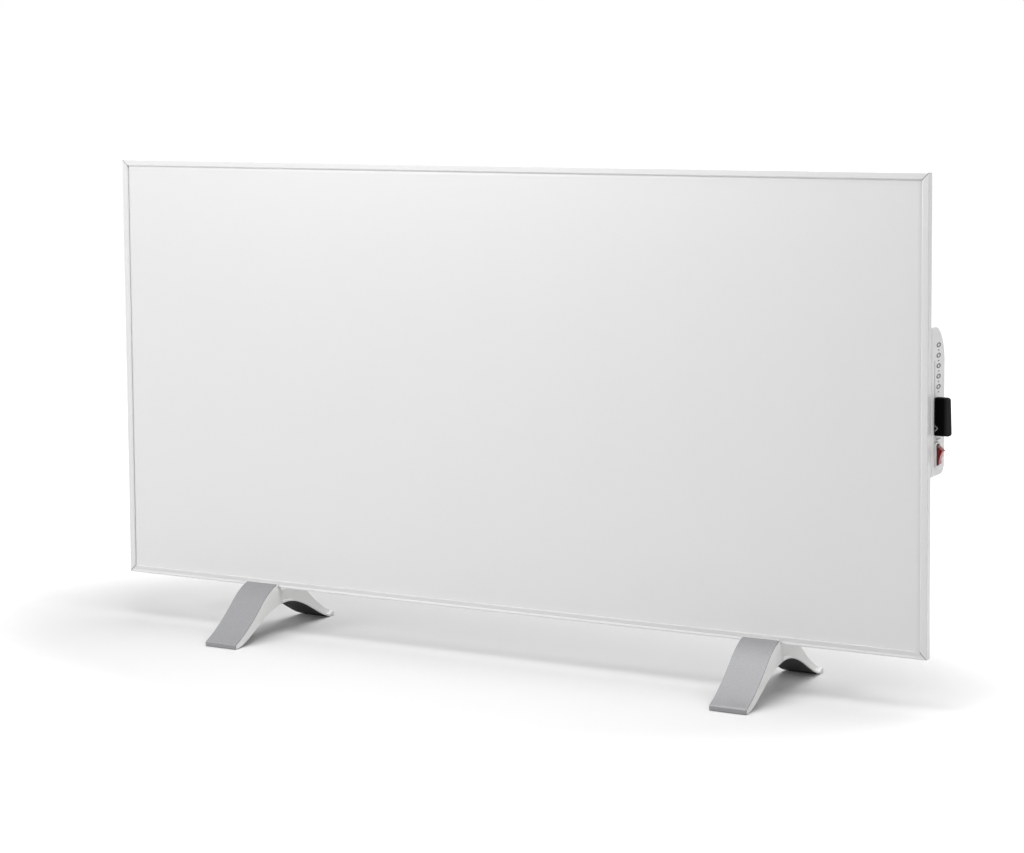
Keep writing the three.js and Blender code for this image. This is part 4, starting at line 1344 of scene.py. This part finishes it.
@dataclass
class RockerSwitch:
    """The switch: its body with the bezel, and the red rocker on its pin.

    Attributes:
        bezel_thickness: How far the bezel stands out.
        bezel_round: Radius of the bezel's corners.
        bezel_edge: Rounding of its outer edge.
        body: Depth and height of the body inside the box.
        opening: Depth and height of the opening in the bezel.
        opening_round: Radius of the opening's corners.
        opening_chamfer: Width of the opening's chamfer.
        cavity: Depth of the cavity that the rocker turns in.
        radius: Radius that the rocker's outline is a share of.
        crest: Where its two crests stand along it and out of the pin, as shares of that radius.
        tilt: Tilt of the rocker at rest, in degrees.
        dish: How deep the rocker's face is hollowed.
        rocker_edge: Rounding of its ends.
        rocker_corner: Radius of its crests.
    """

    bezel_thickness: float = 2.0
    bezel_round: float = 1.8
    bezel_edge: float = 0.7
    body: Point = (13.0, 28.2)
    opening: Point = (10.8, 26.0)
    opening_round: float = 0.6
    opening_chamfer: float = 0.4
    cavity: float = 16.0
    radius: float = 12.7
    crest: Point = (0.69, 0.91)
    tilt: float = 16.5
    dish: float = 1.3
    rocker_edge: float = 0.7
    rocker_corner: float = 1.0

    def case(self) -> bpy.types.Object:
        """Draws the bezel, the body behind it and the cavity, as one moulding."""
        reach = Reach.of("switch_body")
        y, z = reach.middle.y, reach.middle.z
        face = reach.high.x
        steps = 5
        bezel = rounded_rectangle(reach.y, reach.z, self.bezel_round, steps)
        body, opening = (
            rounded_rectangle(span(y, depth), span(z, height), self.opening_round, steps)
            for depth, height in (self.body, self.opening)
        )
        edge = rounded_levels(bezel, (face - self.bezel_thickness, face), (0.0, self.bezel_edge), steps=4)
        draft = Draft()
        draft.stack(Axis.X, [
            (inset(body, self.opening_round / 2), reach.low.x),
            (body, reach.low.x + self.opening_round),
            (body, face - self.bezel_thickness),
            *edge,
            (inset(opening, -self.opening_chamfer), face),
            (opening, face - self.opening_chamfer),
            (opening, face - self.cavity),
        ])
        made = draft.piece("switch_case", NYLON_WHITE, Slot.WHITE)
        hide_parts("switch_body")
        return made

    def paddle(self) -> bpy.types.Object:
        """Draws the red rocker, tilted as it rests."""
        pin = Reach.of("rocker_pin").middle
        width = Reach.of("switch_rocker").y
        shares = [(0.83, 0.55), (0.93, 0.35), (0.98, 0.15), (0.7, -0.12)]
        side = [(out * self.radius, along * self.radius) for along, out in shares]
        crest_along, crest_out = (share * self.radius for share in self.crest)
        half_steps = 6
        face: Loop = []
        for step in range(-half_steps, half_steps + 1):
            share = step / half_steps
            face.append((crest_out - self.dish * (1 - share * share), share * crest_along))
        below = [(out, -along) for out, along in reversed(side)]
        loop = below + face + side
        turn = math.radians(self.tilt)
        cosine, sine = math.cos(turn), math.sin(turn)
        tilted = [
            (pin.x + out * cosine + along * sine, pin.z - out * sine + along * cosine) for out, along in loop
        ]
        draft = Draft()
        draft.prism(Axis.Y, tilted, width, self.rocker_edge, self.rocker_corner, 4)
        made = draft.piece("red_rocker", POLYCARBONATE_RED, Slot.RED, ROCKER)
        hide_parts("switch_rocker")
        return made

    def build(self) -> list[bpy.types.Object]:
        """Draws the case and the rocker, and returns them."""
        return [self.case(), self.paddle()]


class Side(Enum):
    """Left or right, as seen from the front."""

    LEFT = "left"
    RIGHT = "right"


@dataclass
class Foot:
    """An arched foot: moulded body, satin front plate, a dark sheet of painted shade under the arch, rubber
    pads and a saddle under the panel.

    Lengths along the foot are from its middle, and positive to the end that a curve is drawn for.

    Attributes:
        side: Which of the two feet.
        panel_along: How far ahead of the foot's middle the panel's face stands.
        panel_bottom: Height of the panel's lower edge.
        lip_rise: How far the foot's lip stands up in front of the panel.
        lip_proud: How far it stands ahead of the panel.
        trim: Thickness of the front plate.
        gap: Gap between the plate and the block under it.
        toe_height: Height of the toe.
        toe_round: Its rounding.
        toe_flat: Where the toe's flat ends and the arch starts, as a share of the foot's half length.
        arch_height: Height of the arch's crest.
        sheet: Thickness of the rear arch.
        web_inset: How far the web stands in from the sides.
        rear_toe: Length of the solid rear toe.
        block_back: How far behind the panel's face the front block ends.
        block_lean: How much its back leans.
        notch: Depth of the notch behind the panel.
        notch_along: Where the notch ends, behind the foot's middle.
        hump_drop: How far the web's hump stays under the panel's lower edge.
        pad_proud: How far the rubber pads stand out under the toes.
        pocket_round: Radius of the corners of the pads' pockets.
        rubber_round: Radius of the corners of the pads and the saddle.
        pad_edge: Rounding of the pads' edges.
        saddle_edge: Rounding of the saddle's ends.
        lining: Thickness of the dark rubber sheet under the arch that paints the shade there.
        lining_inset: How far it stays in from the sides, so that a pale rim shows beside it.
        tab: Width, thickness and height of the tab behind the panel.
        tab_pad_rise: How far above the panel's lower edge the tab's thick pad starts.
        tab_edge: Rounding along the sides of the tab.
        edge: Rounding along the sides of the moulding.
        trim_edge: Rounding along the sides of the front plate.
    """

    side: Side
    panel_along: float = 18.0
    panel_bottom: float = 66.0
    lip_rise: float = 5.3
    lip_proud: float = 3.6
    trim: float = 1.4
    gap: float = 0.3
    toe_height: float = 7.5
    toe_round: float = 1.5
    toe_flat: float = 0.928
    arch_height: float = 42.5
    sheet: float = 2.5
    web_inset: float = 6.5
    rear_toe: float = 12.0
    block_back: float = 6.0
    block_lean: float = 6.0
    notch: float = 7.0
    notch_along: float = 14.0
    hump_drop: float = 1.0
    pad_proud: float = 0.6
    pocket_round: float = 1.0
    rubber_round: float = 1.2
    pad_edge: float = 0.4
    saddle_edge: float = 0.6
    lining: float = 0.5
    lining_inset: float = 1.7
    tab: tuple[float, float, float] = (30.0, 3.0, 42.0)
    tab_pad_rise: float = 8.0
    tab_edge: float = 0.5
    edge: float = 0.8
    trim_edge: float = 0.45

    def __post_init__(self) -> None:
        """Reads the foot's place from the frame."""
        self.node = f"foot_{self.side.value}"
        self.reach = Reach.of(f"{self.node}_body")
        self.half = self.reach.high.y
        self.top = self.panel_bottom + self.lip_rise

    def top_curve(self) -> Loop:
        """Draws the swooping top from the lip to the toe."""
        shoulder = [(0.291, 0.954), (0.41, 0.813), (0.5, 0.666)]
        slope = [(0.656, 0.435), (0.844, 0.196)]
        scaled = [(along * self.half, up * self.top) for along, up in shoulder + slope]
        lip = (self.panel_along + self.lip_proud, self.top)
        toe = (self.half - self.toe_round, self.toe_height)
        return bezier([lip, *scaled[:3]], steps=14) + bezier([*scaled[2:], toe], steps=24)[1:]

    def arch_curve(self) -> Loop:
        """Draws the arch under the foot, from the toe's flat to the crest."""
        shares = [(0.656, 0.165), (0.385, 1.0)]
        bends = [(along * self.half, up * self.arch_height) for along, up in shares]
        start, crest = (self.toe_flat * self.half, self.pad_proud), (0.0, self.arch_height)
        return bezier([start, *bends, crest], steps=24)

    def front_plate(self) -> bpy.types.Object:
        """Draws the satin plate that follows the top and turns down over the toe."""
        inner_toe = self.half - self.trim
        toe_turn = self.toe_height - self.toe_round
        outer = [*self.top_curve(), (self.half, toe_turn), (self.half, self.pad_proud)]
        inner = [point for point in moved(self.top_curve(), -self.trim) if point[0] < inner_toe]
        inner[0] = (outer[0][0] - self.trim, self.top)
        inner += [(inner_toe, toe_turn - self.trim), (inner_toe, self.pad_proud)]
        loop = [(-along, up) for along, up in outer + inner[::-1]]
        draft = Draft()
        draft.prism(Axis.X, loop, self.reach.x, self.trim_edge, self.trim_edge)
        made = draft.piece(f"{self.node}_front_plate", SILVER_LACQUER, Slot.SILVER)
        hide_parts(f"{self.node}_trim")
        return made

    def shell_outline(self) -> Loop:
        """Draws the full-width part from the side: solid front block, thin rear arch and rear toe."""
        depth = self.trim + self.gap
        inner_toe = self.half - depth
        toe_turn = self.toe_height - self.toe_round
        top = [point for point in moved(self.top_curve(), -depth) if point[0] < inner_toe]
        top[0] = (self.panel_along + self.lip_proud - depth, self.top)
        front = [
            (self.panel_along + self.gap, self.top), *top,
            (inner_toe, toe_turn - depth), (inner_toe, self.pad_proud), *self.arch_curve(),
        ]
        under = self.arch_curve()[::-1]
        back = self.panel_along - self.block_back
        crest = self.arch_height + self.sheet
        seat = self.panel_bottom - self.gap
        lean = back - self.block_lean * (seat - crest) / (seat - self.arch_height)
        over = [point for point in moved(under, self.sheet) if point[0] < self.half - self.rear_toe]
        rear = [
            *under[1:], (self.half, self.pad_proud), (self.half, toe_turn),
            (self.half - self.toe_round, self.toe_height), *over[::-1],
            (-lean, crest), (-back, seat), (-self.panel_along - self.gap, seat),
        ]
        return [(-along, up) for along, up in front] + rear

    def web_outline(self) -> Loop:
        """Draws the inset web between the panel and the thin arch."""
        hump = self.panel_bottom - self.hump_drop
        floor = self.panel_bottom - self.notch
        slope = [point for point in self.top_curve() if point[0] > self.notch_along and point[1] < hump]
        lowered = moved(self.arch_curve(), -self.sheet / 2)
        under = [point for point in lowered if point[0] < self.half - self.rear_toe]
        start = self.panel_along - self.block_back
        return [
            (-start, floor), (self.notch_along, floor), (self.notch_along, hump), *slope, *under,
            (-start, self.arch_height + self.sheet / 2),
        ]

    def tab_outline(self) -> Loop:
        """Draws the tab behind the panel from the side, with the pad that meets the rear cover."""
        front = Reach.of("frame_bottom").high.y + self.gap
        back = front + self.tab[1]
        cover = Reach.of("rear_cover").high.y + self.gap
        low, high = self.panel_bottom - self.notch - self.sheet, self.panel_bottom + self.tab[2]
        pad = self.panel_bottom + self.tab_pad_rise
        return [(front, low), (back, low), (back, high), (cover, high), (cover, pad), (front, pad)]

    def moulding(self) -> bpy.types.Object:
        """Joins shell, web and tab into the moulded body, and cuts the pockets of the pads."""
        web_ends = (self.reach.low.x + self.web_inset, self.reach.high.x - self.web_inset)
        parts = [
            (self.shell_outline(), self.reach.x, self.edge),
            (self.web_outline(), web_ends, 0.0),
            (self.tab_outline(), span(self.reach.middle.x, self.tab[0]), self.tab_edge),
        ]
        drafts = []
        for outline, ends, edge in parts:
            draft = Draft()
            draft.prism(Axis.X, outline, ends, edge, max(edge, self.gap))
            drafts.append(draft)
        made = drafts[0].piece(f"{self.node}_moulding", ABS_WHITE, Slot.WHITE)
        joins = [draft.tool(f"{self.node}_part_{i}") for i, draft in enumerate(drafts[1:])]
        cuts = []
        overshoot = 1.0
        for end in ("front", "rear"):
            pad = Reach.of(f"{self.node}_pad_{end}")
            pocket_x = (pad.low.x - self.gap, pad.high.x + self.gap)
            pocket_y = (pad.low.y - self.gap, pad.high.y + self.gap)
            pocket = rounded_rectangle(pocket_x, pocket_y, self.pocket_round)
            through_toe = (pad.low.z - overshoot, pad.high.z + self.gap)
            cuts.append(cutter(f"{self.node}_pocket_{end}", Axis.Z, pocket, through_toe))
        carved(made, joins, cuts)
        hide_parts(f"{self.node}_body")
        return made

    def rubber(self) -> list[bpy.types.Object]:
        """Draws the two pads under the toes and the saddle under the panel."""
        made = []
        for end in ("front", "rear"):
            reach = Reach.of(f"{self.node}_pad_{end}")
            draft = Draft()
            outline = rounded_rectangle(reach.x, reach.y, self.rubber_round)
            draft.prism(Axis.Z, outline, reach.z, self.pad_edge)
            pad = draft.piece(f"{self.node}_toe_pad_{end}", RUBBER, Slot.RUBBER)
            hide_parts(f"{self.node}_pad_{end}")
            made.append(pad)
        reach = Reach.of(f"{self.node}_saddle")
        draft = Draft()
        outline = rounded_rectangle(reach.y, reach.z, self.rubber_round)
        draft.prism(Axis.X, outline, reach.x, self.saddle_edge)
        saddle = draft.piece(f"{self.node}_rubber_saddle", RUBBER, Slot.RUBBER)
        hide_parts(f"{self.node}_saddle")
        return [*made, saddle]

    def arch_lining(self) -> bpy.types.Object:
        """Draws a dark rubber sheet under the arch, from toe to toe, as painted shade."""
        half = [point for point in self.arch_curve() if point[1] > 2 * self.lining]
        arch = [*half, *((-along, up) for along, up in half[-2::-1])]
        arch_side = moved(arch, -self.lining / 2)
        floor_side = moved(arch, self.lining / 2)
        ends = (self.reach.low.x + self.lining_inset, self.reach.high.x - self.lining_inset)
        draft = Draft()
        draft.prism(Axis.X, [*arch_side, *floor_side[::-1]], ends)
        return draft.piece(f"{self.node}_arch_lining", RUBBER, Slot.RUBBER)

    def build(self) -> list[bpy.types.Object]:
        """Draws the foot and returns its pieces."""
        return [self.moulding(), self.front_plate(), *self.rubber(), self.arch_lining()]


@dataclass
class WallHanger:
    """A Z-bent steel hanger with a keyhole, on the back of the panel.

    Attributes:
        side: Which of the two hangers.
        sheet: Thickness of the steel.
        flange: Height of the flange that hangs on the wall's screw.
        bend: Radius of the bends.
        edge: Rounding of its side edges.
        keyhole: Radius of the keyhole's round end.
        keyhole_slot: Radius of its slot.
        keyhole_rise: Height of the round end above the bend.
        slot_length: Length of the slot.
        screw_hole: Radius of the two screw holes.
    """

    side: Side
    sheet: float = 1.5
    flange: float = 28.0
    bend: float = 1.6
    edge: float = 0.3
    keyhole: float = 4.5
    keyhole_slot: float = 2.3
    keyhole_rise: float = 10.0
    slot_length: float = 8.0
    screw_hole: float = 2.1

    def build(self) -> list[bpy.types.Object]:
        """Draws the hanger and returns it."""
        node = f"wall_bracket_{self.side.value}"
        reach = Reach.of(node)
        near, far = reach.y
        low, high = reach.z
        step = high - self.flange
        outline = softened([
            (near, low), (near + self.sheet, low),
            (near + self.sheet, step - self.sheet), (far, step - self.sheet),
            (far, high), (far - self.sheet, high),
            (far - self.sheet, step), (near, step),
        ], self.bend, steps=4)
        draft = Draft()
        draft.prism(Axis.X, outline, reach.x, self.edge)
        made = draft.piece(f"{self.side.value}_wall_hanger", ZINC_PLATE, Slot.ZINC)
        x, z = reach.middle.x, step + self.keyhole_rise
        through = (near - self.sheet, far + self.sheet)
        top = z + self.slot_length
        slot = [
            *arc((x, top), (self.keyhole_slot, self.keyhole_slot), 0.0, math.pi, 10),
            (x - self.keyhole_slot, z), (x + self.keyhole_slot, z),
        ]
        cuts = [
            cutter("keyhole_round", Axis.Y, circle((x, z), self.keyhole, 32), through),
            cutter("keyhole_slot", Axis.Y, slot, through),
        ]
        numbers = (1, 2) if self.side is Side.LEFT else (3, 4)
        overshoot = 1.0
        for number in numbers:
            screw = Reach.of(f"bracket_screw_{number}").middle
            hole = circle((screw.x, screw.z), self.screw_hole, 20)
            bore = (near - overshoot, near + 2 * self.sheet)
            cuts.append(cutter(f"hanger_bore_{number}", Axis.Y, hole, bore))
        carved(made, cuts=cuts)
        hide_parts(node)
        return [made]


@dataclass
class HiddenWorks:
    """The CAD nodes that stay as they are, mostly inside, and their finishes."""

    def finishes(self) -> dict[Finish, list[str]]:
        """Lists the nodes that keep their CAD shape, by finish."""
        corners = ("top_left", "top_right", "bottom_right", "bottom_left")
        blades = ("low_front", "low_back", "high_front", "high_back")
        keys = [f"corner_key_{corner}" for corner in corners]
        return {
            HEATING_FILM: ["heating_element"],
            MINERAL_WOOL: ["insulation_board"],
            ABS_BLACK: ["thermal_cutout", "room_sensor"],
            PVC_BROWN: ["element_lead_live"],
            PVC_BLUE: ["element_lead_neutral"],
            ABS_WHITE: ["housing_base"],
            CIRCUIT_BOARD: ["thermostat_board"],
            POLYAMIDE: ["terminal_block"],
            BRASS: [f"switch_terminal_{blade}" for blade in blades],
            ZINC_PLATE: ["slide_potentiometer", "slider_lever", *keys],
            ZINC_SCREW: ["rocker_pin", "base_screw_1", "base_screw_2"],
        }

    def build(self) -> list[bpy.types.Object]:
        """Gives each of these nodes its material and returns them."""
        dressed = []
        for finish, names in self.finishes().items():
            for name in names:
                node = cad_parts[name]
                node.data.materials.clear()
                node.data.materials.append(finish.material())
                dressed.append(node)
        return dressed


@dataclass
class BackScrews:
    """The screws of the feet and of the hangers."""

    def build(self) -> list[bpy.types.Object]:
        """Draws the eight screws and returns them."""
        screws = Fastener(shank=1.7, head=4.0, head_height=2.6, recess=2.1)
        names = [f"{kind}_screw_{number}" for kind in ("foot", "bracket") for number in SCREW_NUMBERS]
        return screws.build(names, ZINC_SCREW)


# Studio

@dataclass(frozen=True)
class Lamp:
    """A soft lamp.

    Attributes:
        name: Its name.
        place: Where it hangs, in metres.
        aim: The point that it faces, in metres.
        size: Its width and height, in metres.
        power: Its power, in watts.
    """

    name: str
    place: tuple[float, float, float]
    aim: tuple[float, float, float]
    size: tuple[float, float]
    power: float

    def hang(self) -> None:
        """Puts the lamp in the scene, unseen by the camera itself."""
        light = bpy.data.lights.new(self.name, "AREA")
        light.shape = "RECTANGLE"
        light.size, light.size_y = self.size
        light.energy = self.power
        lamp = bpy.data.objects.new(self.name, light)
        lamp.location = self.place
        facing = Vector(self.aim) - Vector(self.place)
        lamp.rotation_euler = facing.to_track_quat("-Z", "Y").to_euler()
        lamp.visible_camera = False
        bpy.context.scene.collection.objects.link(lamp)


@dataclass
class Studio:
    """Plain pale floor, white backdrop, soft lamps, and the camera of the photograph.

    Attributes:
        eye: Place of the camera, in millimetres.
        yaw: Its turn to the left of straight ahead, in degrees.
        pitch: Its look downwards, in degrees.
        roll: Its roll, in degrees.
        sensor: Width of the camera's sensor, in millimetres.
        lens: Its focal length, in millimetres.
        shift: Vertical shift of the frame.
        floor_half: Half the width of the floor, in metres.
        floor_seen: Colour of the floor as it is seen, as sRGB hex.
        floor_bounce: Colour of the light that the floor sends up to the heater, as sRGB hex.
        shadow_middle: Middle of the heater's shadow, from the origin along X, in metres.
        shadow_reach: Where the floor starts to turn white, and where it is white, in metres.
        shadow_squeeze: How much less that distance counts to the sides, because the shadow is long.
        ambient: Strength of the world's light on surfaces.
        lamps: The lamps.
    """

    eye: tuple[float, float, float] = (1657.13, -2947.0, 801.42)
    yaw: float = 29.196
    pitch: float = 4.6239
    roll: float = -0.4542
    sensor: float = 36.0
    lens: float = 91.003
    shift: float = -0.16
    floor_half: float = 30.0
    floor_seen: str = "#eeeeee"
    floor_bounce: str = "#cccccc"
    shadow_middle: float = -0.1
    shadow_reach: Point = (0.33, 0.73)
    shadow_squeeze: float = 0.6
    ambient: float = 0.03
    lamps: tuple[Lamp, ...] = (
        Lamp("key_softbox", (-1.6, -2.8, 1.5), (0.0, 0.0, 0.35), (1.2, 1.2), 32.0),
        Lamp("near_left_softbox", (-1.5, -1.6, 1.0), (-0.4, 0.0, 0.35), (0.9, 0.9), 5.0),
        Lamp("right_softbox", (2.2, -0.4, 2.6), (0.5, 0.0, 0.35), (1.4, 1.4), 20.0),
        Lamp("low_right_softbox", (3.0, -0.3, 1.3), (0.5, 0.0, 0.35), (1.6, 1.6), 12.0),
        Lamp("left_softbox", (-3.0, -0.6, 1.3), (-0.5, 0.0, 0.35), (1.6, 1.6), 9.0),
        Lamp("overhead_softbox", (0.0, 0.2, 2.9), (0.0, 0.0, 0.0), (3.0, 2.6), 57.0),
        Lamp("panel_strip", (0.05, -0.7, 1.5), (0.05, 0.0, 0.6), (0.8, 0.3), 5.0),
        Lamp("rear_softbox", (0.6, 2.2, 2.6), (0.0, 0.0, 0.35), (2.6, 1.4), 14.0),
    )

    def camera(self) -> None:
        """Stands the camera where the photograph was taken from."""
        data = bpy.data.cameras.new("photograph")
        data.sensor_fit = "HORIZONTAL"
        data.sensor_width = self.sensor
        data.lens = self.lens
        data.shift_y = self.shift
        data.clip_end = 100.0
        camera = bpy.data.objects.new("photograph", data)
        bpy.context.scene.collection.objects.link(camera)
        turn = (
            Matrix.Rotation(math.radians(self.yaw), 4, "Z")
            @ Matrix.Rotation(QUARTER - math.radians(self.pitch), 4, "X")
            @ Matrix.Rotation(math.radians(self.roll), 4, "Z")
        )
        camera.matrix_world = Matrix.Translation(Vector(self.eye) * MM) @ turn
        bpy.context.scene.camera = camera

    def seen_directly(self, tree: bpy.types.NodeTree) -> bpy.types.NodeSocket:
        """Is 1 for rays from the camera and for those seen in gloss or through glass.

        Args:
            tree: Node tree that asks.

        Returns:
            A socket with 0 or 1.
        """
        path = add_node(tree, "ShaderNodeLightPath").outputs
        larger = {"operation": "MAXIMUM"}
        straight = {0: path["Is Camera Ray"], 1: path["Is Glossy Ray"]}
        mirror = add_node(tree, "ShaderNodeMath", larger, straight)
        both = {0: mirror.outputs[0], 1: path["Is Transmission Ray"]}
        return add_node(tree, "ShaderNodeMath", larger, both).outputs[0]

    def world(self) -> None:
        """Lights the scene softly from all round, in front of a white backdrop."""
        world = bpy.data.worlds.new("white_studio")
        world.use_nodes = True
        tree = world.node_tree
        tree.nodes.clear()
        levels = {"To Min": self.ambient, "To Max": 1.0}
        strength = add_node(tree, "ShaderNodeMapRange", levels, {"Value": self.seen_directly(tree)})
        light = add_node(
            tree, "ShaderNodeBackground", {"Color": WHITE}, {"Strength": strength.outputs[0]},
        )
        add_node(tree, "ShaderNodeOutputWorld", links={"Surface": light.outputs[0]})
        bpy.context.scene.world = world

    def floor(self) -> None:
        """Lays a pale floor that keeps the heater's shadow and turns white further out."""
        half = self.floor_half
        data = bpy.data.meshes.new("studio_floor")
        corners = [(-half, -half, 0.0), (half, -half, 0.0), (half, half, 0.0), (-half, half, 0.0)]
        data.from_pydata(corners, [], [(0, 1, 2, 3)])
        material = bpy.data.materials.new("studio_floor_matt_paint")
        material.use_nodes = True
        tree = material.node_tree
        tree.nodes.clear()
        seen = self.seen_directly(tree)
        place = add_node(tree, "ShaderNodeTexCoord").outputs["Object"]
        shrink = {
            "operation": "MULTIPLY_ADD",
            1: (self.shadow_squeeze, 1.0, 1.0),
            2: (-self.shadow_middle * self.shadow_squeeze, 0.0, 0.0),
        }
        oval = add_node(tree, "ShaderNodeVectorMath", shrink, {0: place}).outputs[0]
        distance = add_node(tree, "ShaderNodeVectorMath", {"operation": "LENGTH"}, {0: oval}).outputs["Value"]
        ramp = {
            "interpolation_type": "SMOOTHSTEP",
            "From Min": self.shadow_reach[0], "From Max": self.shadow_reach[1], "To Min": 0.0, "To Max": 1.0,
        }
        fade = add_node(tree, "ShaderNodeMapRange", ramp, {"Value": distance})
        lift = add_node(tree, "ShaderNodeMath", {"operation": "MULTIPLY"}, {0: fade.outputs[0], 1: seen})
        glow = add_node(tree, "ShaderNodeEmission", {"Color": WHITE}, {"Strength": lift.outputs[0]})
        paints = {"data_type": "RGBA", 6: linear(self.floor_bounce), 7: linear(self.floor_seen)}
        tone = add_node(tree, "ShaderNodeMix", paints, {0: seen})
        matt = add_node(tree, "ShaderNodeBsdfDiffuse", links={"Color": tone.outputs[2]})
        both = add_node(tree, "ShaderNodeAddShader", links={0: matt.outputs[0], 1: glow.outputs[0]})
        add_node(tree, "ShaderNodeOutputMaterial", links={"Surface": both.outputs[0]})
        data.materials.append(material)
        floor = bpy.data.objects.new("studio_floor", data)
        bpy.context.scene.collection.objects.link(floor)

    def build(self) -> None:
        """Sets up the camera, the world, the floor and the lamps."""
        bpy.context.scene.view_settings.view_transform = "Standard"
        self.camera()
        self.world()
        self.floor()
        for lamp in self.lamps:
            lamp.hang()


def main() -> None:
    """Builds the sub-assemblies in order and reports each piece."""
    logging.basicConfig(level=logging.INFO, format="%(message)s")
    Studio().build()
    assemblies = [
        PanelFrame(),
        RadiatingPanel(),
        ControlBox(),
        Scale(),
        ThermostatThumb(),
        RockerSwitch(),
        Foot(Side.LEFT),
        Foot(Side.RIGHT),
        WallHanger(Side.LEFT),
        WallHanger(Side.RIGHT),
        BackScrews(),
        HiddenWorks(),
    ]
    for assembly in assemblies:
        for piece in assembly.build():
            log.info("%s: %s, %d faces", type(assembly).__name__, piece.name, len(piece.data.polygons))


if __name__ == "__main__":
    main()
